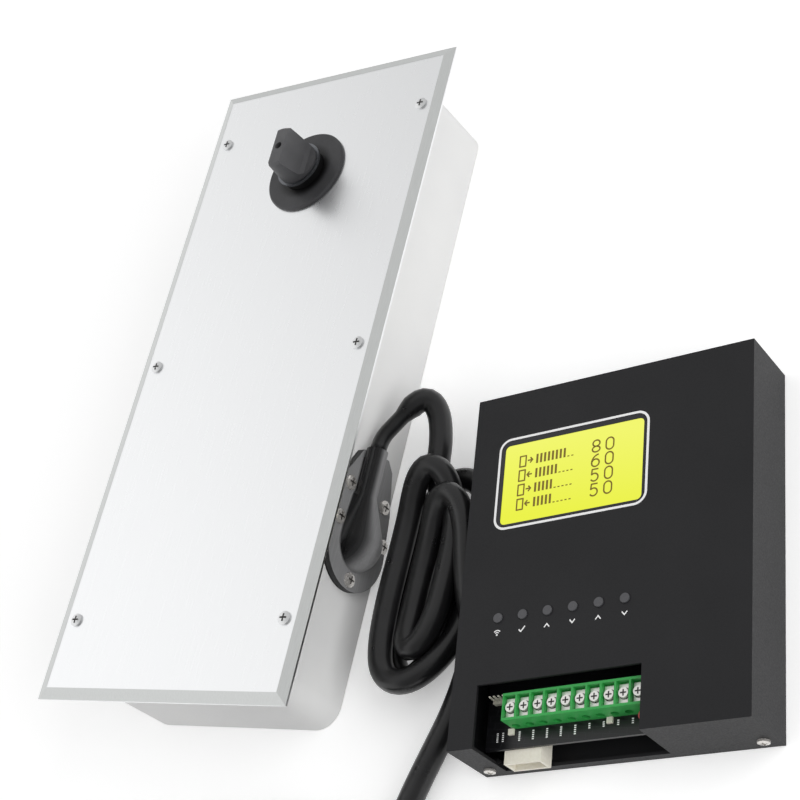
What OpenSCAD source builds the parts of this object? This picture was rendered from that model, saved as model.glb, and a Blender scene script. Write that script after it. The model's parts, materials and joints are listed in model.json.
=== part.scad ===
// Electric floor spring door closer: a sunk drive box with its controller and motor cable.
// Millimetres, +Z up. The origin is on the underside of the floor box, straight below the spindle.
// +X runs across the box towards the cable gland, +Y runs along it towards the spindle end.

/* [Cover plate] */
// Length of the cover plate
plate_l = 380; // [370:1:400]
// Width of the cover plate
plate_w = 164.5; // [162:0.5:176]
// Thickness of the cover plate
plate_t = 3.2; // [3:0.1:4]
// Width of the brushed bevel round its edge
bevel_w = 5.8; // [3:0.1:7]
// Height of plate left under the bevel
bevel_edge = 1.2; // [0.4:0.1:1.4]
// Distance from the floor box's end to the spindle axis
spindle_inset = 60; // [58:1:64]
// Distance of each row of cover screws from the side of the floor box
screw_beside = 7.45; // [6.6:0.05:9]
// Distance between neighbouring cover screws in a row
screw_pitch = 150; // [140:1:154]
// Diameter of a cover screw
cover_screw_d = 4; // [3:0.5:5]

/* [Floor box] */
// Length of the floor box
box_l = 360; // [356:1:364]
// Width of the floor box
box_w = 124.5; // [123:0.5:127]
// Height of the floor box up to its flange
box_h = 62.4; // [62:0.1:64]
// Sheet thickness of the floor box
box_wall = 2; // [1.5:0.1:2.2]
// Outer radius of the upright corners
box_corner = 12.5; // [9:0.5:14]
// Width by which the flange stays inside the cover plate
flange_inset = 2; // [1.4:0.1:3]
// Diameter of the anchor holes in the floor of the box
anchor_d = 6.5; // [5:0.5:7]

/* [Spindle] */
// Diameter of the spindle where it leaves the cover
spindle_d = 25; // [24:0.5:26]
// Diameter of the spindle in its lower bearing
journal_d = 17; // [15:0.5:18]
// Height of the tang above the cover plate
tang_h = 27; // [24:0.5:34]
// Thickness of the tang at its top
tang_top_t = 7.4; // [7:0.2:9]
// Thickness of the tang at its foot
tang_foot_t = 13; // [11:0.5:15]
// Core diameter of the tapped hole in the tang
tang_hole_d = 4.2; // [3.2:0.1:5]
// Depth of the tapped hole in the tang
tang_hole_l = 14; // [8:1:18]
// Diameter of the dust cap on the cover plate
cap_d = 50.6; // [44:1:60]
// Thickness of the dust cap
cap_t = 2; // [2:0.2:4]
// Diameter of the snap ring above the dust cap
snap_d = 28; // [27:0.5:30]
// Door swing to each side, in degrees
swing = 90; // [60:5:90]

/* [Gears] */
// Module of the drive gear and the idler pinion
drive_m = 1.5; // [1.5:0.05:1.55]
// Teeth of the drive gear
drive_z = 60; // [59:1:61]
// Teeth of the two small pinions
pinion_z = 18; // [17:1:18]
// Module of the idler wheel and the motor pinion
fast_m = 1.25; // [1.2:0.01:1.27]
// Teeth of the idler wheel
idler_z = 54; // [50:1:55]
// Teeth of the pinion that drives the rack
rack_z = 17; // [17:1:18]
// Face width of the drive gear
gear_t = 8; // [6:0.5:8]

/* [Spring cartridge] */
// Outer diameter of the spring cylinder
cyl_d = 23.4; // [22:0.2:23.4]
// Wall of the spring cylinder
cyl_wall = 1.7; // [1:0.1:1.9]
// Distance from the floor box's far end to the spring cylinder
cyl_gap = 40; // [30:1:50]
// Diameter of the piston rod
rod_d = 8; // [6:0.5:9]
// Wire diameter of the two springs
wire_d = 2.2; // [1.6:0.1:2.4]

/* [Motor] */
// Diameter of the flat motor
motor_d = 50; // [44:1:52]
// Height of the motor's can
motor_h = 16.5; // [14:0.5:16.8]

/* [Cable gland] */
// Radius of the gland cover's round end
gland_r = 23; // [20:0.5:23]
// Thickness of the gland cover's plate
gland_t = 3; // [2:0.2:4]
// Thickness of the gasket behind it
gasket_t = 1; // [0.6:0.1:2]
// Outer diameter of the gland's spout
spout_d = 11.2; // [11:0.2:14]

/* [Cable] */
// Diameter of the motor cable
cable_d = 12.5; // [11:0.5:12.5]
// Diameter of the cable's neck in the gland
neck_d = 8.8; // [8:0.2:10]

/* [Controller] */
// Width of the controller
ctrl_w = 145; // [142:1:160]
// Height of the controller on the wall
ctrl_l = 180; // [178:1:200]
// Depth of the controller
ctrl_h = 35; // [34:0.5:40]
// Sheet thickness of the controller's case
ctrl_wall = 1.5; // [1:0.1:1.8]
// Turn of the controller on the floor, in degrees
ctrl_turn = 8; // [0:1:10]
// Width of the display's window
lcd_w = 73.6; // [60:0.2:76]
// Height of the display's window
lcd_h = 42.2; // [36:0.2:44]
// Diameter of a push button
button_d = 4.6; // [3.6:0.1:5]
// Distance between neighbouring push buttons
button_pitch = 12.85; // [12:0.05:13]
// Travel of a push button
button_travel = 0.8; // [0.4:0.1:0.9]
// Distance between neighbouring terminals
term_pitch = 7; // [6:0.1:7]
// Diameter of the wall fixing holes
wall_hole_d = 4.6; // [4:0.1:6]
// Diameter of the circle that the wall fixing holes lie on
wall_hole_pcd = 122; // [110:1:130]

/* [Hidden] */

fn_big = 96;
fn_mid = 48;
fn_small = 28;
slip = 0.05;          // radial clearance of a running fit
seat = 0.02;          // radial clearance of a seated fit
fine_gap = 0.3;       // clearance between parts that pass each other
through = 1;          // length by which a cutter runs past the face that it cuts

// Heights in the floor box, from its underside
plate_z = box_h;
plate_top = plate_z + plate_t;
chassis_z = 5;
chassis_t = 7;
deck_z = chassis_z + chassis_t;
bridge_t = 10;
bridge_z = plate_z - 15.9;
bridge_top = bridge_z + bridge_t;
lower_bearing_w = 10;
lower_bearing_z = chassis_z + 3.3;
upper_bearing_w = 9;
upper_bearing_z = bridge_z + 1.5;
gear_z = bridge_z - 0.5 - gear_t;
wheel_t = 6;
wheel_z = gear_z - 2 - wheel_t;
rack_t = 8;
rack_bottom = lower_bearing_z + lower_bearing_w + 1.7;
rack_top = rack_bottom + rack_t;
cyl_z = rack_bottom + rack_t / 2;

// Places along the box
box_y = spindle_inset - box_l / 2;
box_end = box_y - box_l / 2;
beside = box_w / 2;
screw_span = box_w + 2 * screw_beside;
box_in_w = box_w - 2 * box_wall;
box_in_l = box_l - 2 * box_wall;
screw_mid = box_y + 2.4;
cover_screw_at = [for (sx = [-1, 1], k = [-1, 0, 1]) [sx * screw_span / 2, screw_mid + k * screw_pitch]];
anchor_x = box_w / 2 - 13;
anchor_at = [for (sx = [-1, 1], sy = [-1, 1]) [sx * anchor_x, box_y + sy * (box_l / 2 - 8)]];
chassis_w = box_in_w - 7;
chassis_l = box_in_l - 16;
chassis_y = box_y - 3;
chassis_boss_d = 46;
lower_bearing_d = 35;
level_at = [for (sx = [-1, 1], y = [spindle_inset - box_wall - 32, box_end + box_wall + 24])
    [sx * (beside - 12.25), y]];
post_d = 11;
post_x = beside - 10.25;
post_gap = 1.6;
post_reach = drive_m * (drive_z / 2 + 1) + post_gap + post_d / 2;
post_at = [for (sx = [-1, 1], y = [43, -sqrt(max(0, pow(post_reach, 2) - pow(post_x, 2)))])
    [sx * post_x, y]];

// Gear train
drive_r = drive_m * drive_z / 2;
pinion_r = drive_m * pinion_z / 2;
wheel_r = fast_m * idler_z / 2;
motor_pinion_r = fast_m * pinion_z / 2;
rack_r = drive_m * rack_z / 2;
idler_d = 8;
wheel_wall_gap = 3.25;
idler_x = beside - box_wall - wheel_wall_gap - wheel_r - fast_m;
idler_y = -sqrt(pow(drive_r + pinion_r, 2) - pow(idler_x, 2));
idler_dir = atan2(idler_y, idler_x);
motor_x = 28;
motor_y = idler_y - sqrt(pow(wheel_r + motor_pinion_r, 2) - pow(motor_x - idler_x, 2));
motor_dir = atan2(motor_y - idler_y, motor_x - idler_x);
motor_shaft_d = 6;
motor_can_t = 2;
rack_w = 9;
rack_l = 60;
rack_x = -(rack_r + 1.25 * drive_m + rack_w / 2);
rack_stroke = rack_r * PI * swing / 180;

// Spring cartridge
cyl_front = -100;
cyl_l = cyl_front - box_end - cyl_gap;
cyl_y = cyl_front - cyl_l / 2;
cap_l = 12;
cap_plug_l = 6;
piston_l = 10;
cyl_in_d = cyl_d - 2 * cyl_wall;
spring_room = (cyl_l - piston_l) / 2 - cap_plug_l;
spring_mean_d = (rod_d + cyl_in_d) / 2 + 0.6;
spring_turns = 9;

// Spindle
collar_h = 7;
flat_run = 3;
snap_t = 1.5;
tang_top = plate_top + tang_h;
flange_d = 30;
seal_h = 4;
seal_d = 42;
hub_d = 22;
cover_bore_d = seal_d - 4;

// Cable gland, on the +X wall
gland_x = box_w / 2 + gasket_t;
gland_y = -211.5;
gland_shoulder = 48.5;
gland_z = gland_r;
spout_x = gland_x + gland_t + 4.6;
spout_z = 31.2;
spout_y = -162;
wall_hole = 18;
gland_hole_y = -203;
gland_hole_z = 26.5;
gland_screw_inset = 5;
egg_r = 15.4;
egg_y = gland_y + 2;
egg_z = gland_z + 0.4;
egg_nose = -189;
egg_flat = 0.92;
egg_wall = 1.7;
gland_screw_at = [
    [gland_y - gland_r + gland_screw_inset, gland_z],
    [gland_y + 8.5, 2 * gland_z - gland_screw_inset + 1], [gland_y + 8.5, gland_screw_inset - 1],
    [-183.6, 40.2], [-183.6, 10]
];

// Route of the motor cable, from the spout to the hank, and on to the storage coil
cable_r = cable_d / 2;
function by_box(p) = [p[0] + beside, p[1], p[2]];
run_route = [for (p = [
    [8.6, -162, 31.2], [8.9, -154.8, 30.6], [11.5, -149.6, 30.1], [15.9, -144, 29.7], [21.4, -137.2, 29.7],
    [27.3, -131.9, 28.8], [32, -132.2, 25.6], [35.5, -138.5, 22.4], [37.4, -147.5, 20.4], [38.4, -156.5, 19.2],
    [38.4, -165, 17.5]
]) by_box(p)];
tail_route = [for (p = [
    [73, -236, cable_r + 10], [74.5, -244, cable_r + 6.5], [75.5, -253, cable_r + 3], [75.5, -264, cable_r + 0.8],
    [74.5, -275, cable_r], [72, -290, cable_r], [67.5, -305, cable_r], [62, -322, cable_r],
    [57, -340, cable_r], [53.5, -357, cable_r], [51.5, -371, cable_r], [51, -380, cable_r]
]) by_box(p)];
hank_x = beside + 45.75;
hank_y = -224;
hank_w = 40;
hank_l = 113;
hank_layers = 2;
coil_x = beside - 10.25;
coil_y = -410;
coil_mean = 110;
coil_layers = 2;
coil_rows = 2;
coil_out = coil_mean / 2 + (coil_rows - 1) * cable_r;
lead_y = coil_y - coil_out;
lead_route = [for (p = [
    [-41.25, cable_r + 9], [-48.25, cable_r + 6.5], [-57.25, cable_r + 3], [-67.25, cable_r + 0.6], [-72.25, cable_r], [-76.25, cable_r]
]) [p[0] + beside, lead_y, p[1]]];
loom_d = 7.6;
loom_route = [for (p = [
    [8.6, -162.4, 31.2], [8.6, -172, 31.2], [8.6, -182, 31.2], [7.5, -189, 30.6], [4.3, -196, 28.2],
    [-1.25, -201, 26.8], [-7.75, -203, 26.5], [-12.95, -203, 26.5]
]) by_box(p)];
plug_size = [30, 17, 11];

// Controller, in its own frame: centre of its back, X to its right, Y to its top
ctrl_x = beside + 152.75;
ctrl_y = -220;
case_fit = 0.2;
front_z = ctrl_h - ctrl_wall;
lcd_x = -18;
lcd_y = 39.9;
lcd_corner = 2.5;
lcd_frame = 4.5;
button_x = -51.2;
button_y = -28.9;
button_at = [for (k = [0:5]) [button_x + k * button_pitch, button_y]];
button_proud = 0.6;
button_lip = 1.3;
bay_x = [-59.3, 22.3];
bay_top = -60.3;
board_z = 18;
board_t = 1.6;
board_top = board_z + board_t;
board_x = [-62, 60];
board_y = [-85.7, 78];
term_n = 10;
term_x = 21.8 - term_n * term_pitch;
term_y = -76.6;
term_w = 12.7;
term_h = 11;
keys_z = 25.6;
key_switch_h = 3.1;
spacer_d = 6;
board_spacer_at = [for (x = [board_x[0] + 5, board_x[1] - 5], y = [board_y[0] + 34, board_y[1] - 5]) [x, y]];
keys_spacer_at = [for (x = [-60, 22]) [x, button_y]];
inner_board_at = [beside - 32.25, -192];
inner_board = [44, 84];
inner_board_z = deck_z + 8;
inner_spacer_at = [for (sx = [-1, 1], sy = [-1, 1])
    [inner_board_at[0] + sx * (inner_board[0] / 2 - 4), inner_board_at[1] + sy * (inner_board[1] / 2 - 4)]];
case_screw_z = 8;
case_screw_at = [[-61, 1], [61, 1], [-66, -1], [66, -1]];

// ---------- shared shapes ----------

module at_controller() {
    translate([ctrl_x, ctrl_y, 0]) rotate([0, 0, ctrl_turn]) children();
}

// A flat slab with round upright corners, centred on X and Y
module slab(w, l, h, r) {
    linear_extrude(height = h) rounded_rect(w, l, r);
}

module rounded_rect(w, l, r) {
    square([w - 2 * r, l], center = true);
    square([w, l - 2 * r], center = true);
    for (sx = [-1, 1], sy = [-1, 1])
        translate([sx * (w / 2 - r), sy * (l / 2 - r)]) circle(r = r, $fn = fn_mid);
}

module bore(d, z0, z1, fn = fn_mid) {
    translate([0, 0, z0]) cylinder(d = d, h = z1 - z0, $fn = fn);
}

module ring(d_out, d_in, h, fn = fn_mid) {
    difference() {
        cylinder(d = d_out, h = h, $fn = fn);
        bore(d_in, -through, h + through, fn);
    }
}

// Cross recess of a driver, sunk from z = 0
module cross_recess(size, depth) {
    for (a = [0, 90]) rotate([0, 0, a])
        translate([-size / 2, -size / 8, -depth]) cube([size, size / 4, depth + through]);
}

// Pan head screw: its head stands on z = 0 and its shank runs down
module pan_screw(d, l, head_d, head_h) {
    difference() {
        union() {
            rotate_extrude($fn = fn_small) intersection() {
                translate([0, -head_d]) circle(r = head_d + head_h, $fn = fn_big);
                square([head_d / 2, head_h]);
            }
            translate([0, 0, -l]) cylinder(d = d, h = l + head_h / 2, $fn = fn_small);
        }
        translate([0, 0, head_h]) cross_recess(head_d * 0.55, head_h * 0.55);
    }
}

// Socket cap screw: its head stands on z = 0
module cap_screw(d, l) {
    difference() {
        union() {
            cylinder(d = 1.6 * d, h = 0.7 * d, $fn = fn_small);
            translate([0, 0, -l]) cylinder(d = d, h = l + 0.1, $fn = fn_small);
        }
        translate([0, 0, 0.25 * d]) cylinder(d = 0.9 * d, h = d, $fn = 6);
    }
}

// Involute spur gear outline, tooth 0 centred on +X
function roll(r, rb) = sqrt(max(0, pow(r / rb, 2) - 1));
function inv_angle(r, rb) = roll(r, rb) * 180 / PI - atan(roll(r, rb));
function polar(r, a) = [r * cos(a), r * sin(a)];
function gear_points(m, z, lash = 0.14, steps = 3) =
    let (r = m * z / 2, rb = r * cos(20), rf = r - 1.25 * m, ra = r + m, r0 = max(rb, rf + 0.05 * m),
         half_p = 90 / z - lash / r * 45 / PI + inv_angle(r, rb),
         rr = [for (k = [0:steps]) r0 + (ra - r0) * k / steps])
    [for (i = [0:z - 1]) let (a = 360 * i / z) each concat(
        [polar(rf, a - half_p + inv_angle(r0, rb))],
        [for (q = rr) polar(q, a - half_p + inv_angle(q, rb))],
        [for (k = [steps:-1:0]) polar(rr[k], a + half_p - inv_angle(rr[k], rb))],
        [polar(rf, a + half_p - inv_angle(r0, rb))]
    )];

module spur(m, z, h) {
    linear_extrude(height = h) polygon(gear_points(m, z));
}

// Round tube swept along a route of points: rings lie square to the route
function unit(v) = v / norm(v);
function tangent(p, i) = unit(p[min(i + 1, len(p) - 1)] - p[max(i - 1, 0)]);
function ring_at(c, t, r, n, up) = let (s = unit(cross(up, t)), u = cross(t, s))
    [for (k = [0:n - 1]) c + r * (cos(360 * k / n) * s + sin(360 * k / n) * u)];
function spline_at(p, i, f) = let (
        a = p[max(i - 1, 0)], b = p[i], c = p[i + 1], d = p[min(i + 2, len(p) - 1)])
    0.5 * (2 * b + (c - a) * f + (2 * a - 5 * b + 4 * c - d) * pow(f, 2) + (3 * b - a - 3 * c + d) * pow(f, 3));
function smooth(p, n) = [for (i = [0:len(p) - 2], k = [0:n - 1]) spline_at(p, i, k / n), p[len(p) - 1]];

module sweep(path, r, n = 10, up = [0, 0, 1], neck = 0, neck_steps = 9) {
    count = len(path);
    points = [for (i = [0:count - 1]) each
        ring_at(path[i], tangent(path, i), neck > 0 ? neck + (r - neck) * min(1, max(0, i - 3) / neck_steps) : r, n, up)];
    walls = [for (i = [0:count - 2], k = [0:n - 1]) let (q = (k + 1) % n)
        [i * n + k, (i + 1) * n + k, (i + 1) * n + q, i * n + q]];
    ends = [[for (k = [0:n - 1]) k], [for (k = [n - 1:-1:0]) (count - 1) * n + k]];
    polyhedron(points = points, faces = concat(walls, ends));
}

// ---------- floor box and cover ----------

module cement_box() {
    color("whitesmoke") difference() {
        union() {
            translate([0, box_y, 0]) slab(box_w, box_l, box_h, box_corner);
            translate([0, box_y, box_h - box_wall])
                slab(plate_w - 2 * flange_inset, plate_l - 2 * flange_inset, box_wall, 2);
        }
        translate([0, box_y, box_wall])
            slab(box_in_w, box_in_l, box_h, box_corner - box_wall);
        for (p = cover_screw_at) translate(p) bore(cover_screw_d + 0.5, box_h - 2 * box_wall, box_h + through);
        for (p = anchor_at) translate(p) bore(anchor_d, -through, box_wall + through);
        translate([0, gland_hole_y, gland_hole_z]) rotate([0, 90, 0])
            bore(wall_hole, box_w / 2 - 2 * box_wall, box_w / 2 + through);
        for (p = gland_screw_at) translate([0, p[0], p[1]]) rotate([0, 90, 0])
            bore(3.2, box_w / 2 - 2 * box_wall, box_w / 2 + through, fn_small);
    }
}

module plate_body() {
    translate([0, box_y, plate_z]) {
        linear_extrude(height = bevel_edge) square([plate_w, plate_l], center = true);
        hull() for (k = [0, 1])
            translate([0, 0, k ? plate_t - 0.01 : bevel_edge - 0.01])
                linear_extrude(height = 0.01)
                    square([plate_w - 2 * k * bevel_w, plate_l - 2 * k * bevel_w], center = true);
    }
}

module cover_plate() {
    color("gainsboro") difference() {
        plate_body();
        bore(cover_bore_d, plate_z - through, plate_top + through, fn_big);
        for (p = cover_screw_at) translate(p) bore(cover_screw_d + 0.5, plate_z - through, plate_top + through);
    }
}

module cover_screws() {
    color("silver") for (p = cover_screw_at)
        translate([p[0], p[1], plate_top]) pan_screw(cover_screw_d, plate_t + 7, 1.75 * cover_screw_d, 1.6);
}

module flange_nuts() {
    color("darkgray") for (p = cover_screw_at) translate([p[0], p[1], box_h - box_wall - 4])
        difference() {
            cylinder(d = cover_screw_d + 4, h = 4, $fn = 6);
            bore(cover_screw_d + 2 * slip, -through, 4 + through);
        }
}

// ---------- frame of the drive ----------

module chassis() {
    color("slategray") difference() {
        union() {
            translate([0, chassis_y, chassis_z]) slab(chassis_w, chassis_l, chassis_t, 8);
            translate([0, 0, chassis_z]) cylinder(d = chassis_boss_d, h = lower_bearing_z + lower_bearing_w - chassis_z, $fn = fn_big);
            for (p = post_at) translate([p[0], p[1], chassis_z])
                cylinder(d = post_d, h = bridge_z - chassis_z, $fn = fn_mid);
            translate([idler_x, idler_y, chassis_z])
                cylinder(d = idler_d + 8, h = wheel_z - fine_gap - chassis_z, $fn = fn_mid);
        }
        bore(lower_bearing_d + 2 * seat, lower_bearing_z, gear_z, fn_big);
        bore(24, -through, gear_z, fn_big);
        translate([idler_x, idler_y, 0]) bore(idler_d + 2 * seat, 0, gear_z);
        for (p = post_at) translate(p) bore(4 + 2 * slip, bridge_z - 16, bridge_z + through, fn_small);
        for (p = level_at) translate(p) bore(6 + 2 * slip, 0, deck_z + through);
    }
}

module levelling_screws() {
    color("silver") for (p = level_at) translate([p[0], p[1], box_wall]) difference() {
        union() {
            cylinder(d = 11, h = chassis_z - box_wall, $fn = fn_mid);
            cylinder(d = 6, h = deck_z + 3 - box_wall, $fn = fn_small);
        }
        translate([-4, -0.5, deck_z + 1.5 - box_wall]) cube([8, 1, 3]);
    }
}

module bridge_plate() {
    color("lightslategray") difference() {
        union() {
            translate([0, -7, bridge_z]) slab(box_in_w - 6, 118, bridge_t, 8);
            translate([0, 0, bridge_z]) cylinder(d = 54, h = plate_z - 0.5 - bridge_z, $fn = fn_big);
        }
        bore(42 + 2 * seat, upper_bearing_z, plate_z + through, fn_big);
        bore(flange_d + 4, bridge_z - through, plate_z, fn_big);
        for (p = post_at) translate(p) bore(5, bridge_z - through, bridge_top + through);
        translate([idler_x, idler_y, 0]) bore(idler_d + 2 * seat, bridge_z - through, bridge_top + through);
    }
}

clamp_y = [cyl_y + cyl_l / 2 - 22, cyl_y - cyl_l / 2 + 22];
clamp_w = 44;
clamp_bolt = clamp_w / 2 - 4.5;
clamp_h = 8;
motor_ear_at = [for (a = [-45, 135]) [motor_x + (motor_d / 2 + 4) * cos(a), motor_y + (motor_d / 2 + 4) * sin(a)]];

module frame_screws() {
    color("dimgray") {
        for (p = post_at) translate([p[0], p[1], bridge_top]) cap_screw(4, bridge_t + 14);
        for (p = motor_ear_at) translate([p[0], p[1], deck_z + 4]) cap_screw(3, 4 - fine_gap);
        for (y = clamp_y, sx = [-1, 1])
            translate([rack_x + sx * clamp_bolt, y, deck_z + clamp_h]) cap_screw(3, clamp_h - fine_gap);
    }
}

// ---------- spindle and its bearings ----------

spindle_foot = lower_bearing_z;
pinion_hub_top = rack_top + 1.5;

module tang_shape() {
    run_z = plate_top + collar_h + snap_t + 1;
    side_points = [
        [spindle_d / 2 + 1, spindle_foot], [spindle_d / 2 + 1, run_z],
        [tang_foot_t / 2 + 2, run_z + 1.2], [tang_foot_t / 2, run_z + flat_run],
        [tang_top_t / 2, tang_top], [-tang_top_t / 2, tang_top],
        [-tang_foot_t / 2, run_z + flat_run], [-tang_foot_t / 2 - 2, run_z + 1.2],
        [-spindle_d / 2 - 1, run_z], [-spindle_d / 2 - 1, spindle_foot]
    ];
    translate([0, spindle_d, 0]) rotate([90, 0, 0]) linear_extrude(height = 2 * spindle_d) polygon(side_points);
}

module spindle() {
    color("dimgray") difference() {
        union() {
            translate([0, 0, spindle_foot])
                cylinder(d = journal_d, h = pinion_hub_top - spindle_foot + 1, $fn = fn_big);
            translate([0, 0, pinion_hub_top]) cylinder(d = hub_d, h = bridge_z - pinion_hub_top, $fn = fn_big);
            translate([0, 0, gear_z + gear_t]) cylinder(d = flange_d, h = upper_bearing_z - gear_z - gear_t, $fn = fn_big);
            intersection() {
                tang_shape();
                union() {
                    translate([0, 0, upper_bearing_z])
                        cylinder(d = spindle_d, h = tang_top - 1.5 - upper_bearing_z, $fn = fn_big);
                    translate([0, 0, tang_top - 1.5])
                        cylinder(d1 = spindle_d, d2 = spindle_d - 2.4, h = 1.5, $fn = fn_big);
                }
            }
        }
        bore(tang_hole_d, tang_top - tang_hole_l, tang_top + through);
        translate([0, 0, plate_top + collar_h]) ring(spindle_d + 4, spindle_d - 1.6, snap_t, fn_big);
    }
}

module drive_gear() {
    color("silver") translate([0, 0, gear_z]) difference() {
        rotate([0, 0, idler_dir]) spur(drive_m, drive_z, gear_t);
        bore(hub_d + 2 * seat, -through, gear_t + through, fn_big);
        for (a = [0:60:359]) rotate([0, 0, a]) translate([0.62 * drive_r, 0, 0])
            bore(0.3 * drive_r, -through, gear_t + through);
    }
}

module rack_pinion() {
    color("silver") difference() {
        union() {
            translate([0, 0, rack_bottom]) rotate([0, 0, 180]) spur(drive_m, rack_z, rack_t);
            translate([0, 0, lower_bearing_z + lower_bearing_w])
                cylinder(d = 2 * rack_r - 4, h = pinion_hub_top - lower_bearing_z - lower_bearing_w, $fn = fn_mid);
        }
        bore(journal_d + 2 * seat, 0, gear_z, fn_big);
    }
}

module dust_cap() {
    color("dimgray") translate([0, 0, plate_top]) difference() {
        union() {
            cylinder(d = cap_d, h = cap_t - 0.8, $fn = fn_big);
            translate([0, 0, cap_t - 0.8]) cylinder(d1 = cap_d, d2 = cap_d - 1.6, h = 0.8, $fn = fn_big);
            translate([0, 0, -2]) cylinder(d = cover_bore_d - 0.4, h = 2.1, $fn = fn_big);
        }
        bore(spindle_d + 2 * fine_gap, -2 - through, cap_t + through, fn_big);
    }
}

module snap_ring() {
    color("gray") translate([0, 0, plate_top + collar_h]) difference() {
        cylinder(d = snap_d, h = snap_t, $fn = fn_big);
        bore(spindle_d - 1.6 + 2 * seat, -through, snap_t + through, fn_big);
        translate([-snap_d, -1.5, -through]) cube([snap_d - 5, 3, snap_t + 2 * through]);
    }
}

module lip_seal() {
    color([0.1, 0.1, 0.1]) translate([0, 0, upper_bearing_z + upper_bearing_w])
        ring(seal_d, spindle_d + 4 * slip, seal_h, fn_big);
}

// One deep groove ball bearing: part 0 is the outer ring, 1 the inner ring, 2 the balls
module bearing(d_in, d_out, w, part) {
    t = (d_out - d_in) / 2;
    pitch_r = (d_out + d_in) / 4;
    ball_d = 0.52 * t;
    if (part == 2) {
        for (a = [0:36:359]) rotate([0, 0, a]) translate([pitch_r, 0, w / 2]) sphere(d = ball_d, $fn = 14);
    } else difference() {
        if (part == 0) ring(d_out, d_out - 0.56 * t, w, fn_big);
        else ring(d_in + 0.56 * t, d_in + 2 * seat, w, fn_big);
        translate([0, 0, w / 2]) rotate_extrude($fn = fn_big) translate([pitch_r, 0])
            circle(d = ball_d + 2 * slip, $fn = fn_small);
    }
}

module bearings(part) {
    translate([0, 0, lower_bearing_z]) bearing(journal_d, lower_bearing_d, lower_bearing_w, part);
    translate([0, 0, upper_bearing_z]) bearing(spindle_d, 42, upper_bearing_w, part);
}

module bearing_outer_rings() {
    color("silver") bearings(0);
}

module bearing_inner_rings() {
    color("silver") bearings(1);
}

module bearing_balls() {
    color("white") bearings(2);
}

// ---------- reduction gear and motor ----------

module idler_shaft() {
    color("silver") translate([idler_x, idler_y, chassis_z])
        cylinder(d = idler_d, h = bridge_top - chassis_z, $fn = fn_mid);
}

module idler_gear() {
    color("goldenrod") translate([idler_x, idler_y, 0]) difference() {
        union() {
            translate([0, 0, wheel_z]) rotate([0, 0, motor_dir]) spur(fast_m, idler_z, wheel_t);
            translate([0, 0, wheel_z]) cylinder(d = 2 * pinion_r - 6, h = gear_z - wheel_z + 0.1, $fn = fn_mid);
            translate([0, 0, gear_z]) rotate([0, 0, idler_dir + 180 + 180 / pinion_z]) spur(drive_m, pinion_z, gear_t);
        }
        bore(idler_d + 2 * slip, 0, bridge_z);
        for (a = [0:72:359]) rotate([0, 0, a]) translate([0.64 * wheel_r, 0, 0])
            bore(0.26 * wheel_r, 0, wheel_z + wheel_t + 0.5);
    }
}

module motor_housing() {
    color("darkgray") translate([motor_x, motor_y, deck_z]) difference() {
        union() {
            cylinder(d = motor_d, h = motor_h, $fn = fn_big);
            for (p = motor_ear_at) translate([p[0] - motor_x, p[1] - motor_y, 0]) {
                cylinder(d = 9, h = 4, $fn = fn_small);
            }
        }
        bore(motor_d - 2 * motor_can_t, motor_can_t + 1, motor_h - motor_can_t, fn_big);
        bore(motor_shaft_d + 2 * slip, motor_can_t - 1, motor_h + through);
        for (p = motor_ear_at) translate([p[0] - motor_x, p[1] - motor_y, 0]) bore(3 + 2 * slip, -through, 4 + through);
    }
}

module motor_rotor() {
    color("silver") translate([motor_x, motor_y, deck_z]) {
        translate([0, 0, motor_can_t - 1 + fine_gap])
            cylinder(d = motor_shaft_d, h = wheel_z + wheel_t + 1 - deck_z - motor_can_t + 1 - fine_gap, $fn = fn_mid);
        translate([0, 0, motor_can_t + 2]) cylinder(d = motor_d - 2 * motor_can_t - 4, h = motor_h - 2 * motor_can_t - 3, $fn = fn_big);
    }
}

module motor_pinion() {
    color("goldenrod") translate([motor_x, motor_y, wheel_z]) difference() {
        rotate([0, 0, motor_dir + 180 + 180 / pinion_z]) spur(fast_m, pinion_z, wheel_t);
        bore(motor_shaft_d + 2 * seat, -through, wheel_t + through);
    }
}

module terminal_board() {
    color("darkgreen") translate([inner_board_at[0], inner_board_at[1], inner_board_z]) difference() {
        union() {
            translate([-inner_board[0] / 2, -inner_board[1] / 2, 0]) cube([inner_board[0], inner_board[1], board_t]);
            translate([8, gland_hole_y - inner_board_at[1] - 11, board_t - 0.1]) cube([11, 22, 12]);
            for (y = [8, 22]) translate([-9, y, board_t - 0.1]) cylinder(d = 11, h = 15, $fn = fn_small);
            translate([-16, -34, board_t - 0.1]) cube([22, 18, 6]);
        }
        for (p = inner_spacer_at) translate([p[0] - inner_board_at[0], p[1] - inner_board_at[1], 0])
            bore(3.2, -through, board_t + through, fn_small);
    }
}

module wiring_loom() {
    color([0.1, 0.1, 0.1]) sweep(smooth(loom_route, 2), loom_d / 2, 10);
}

// ---------- closing spring ----------

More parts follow.
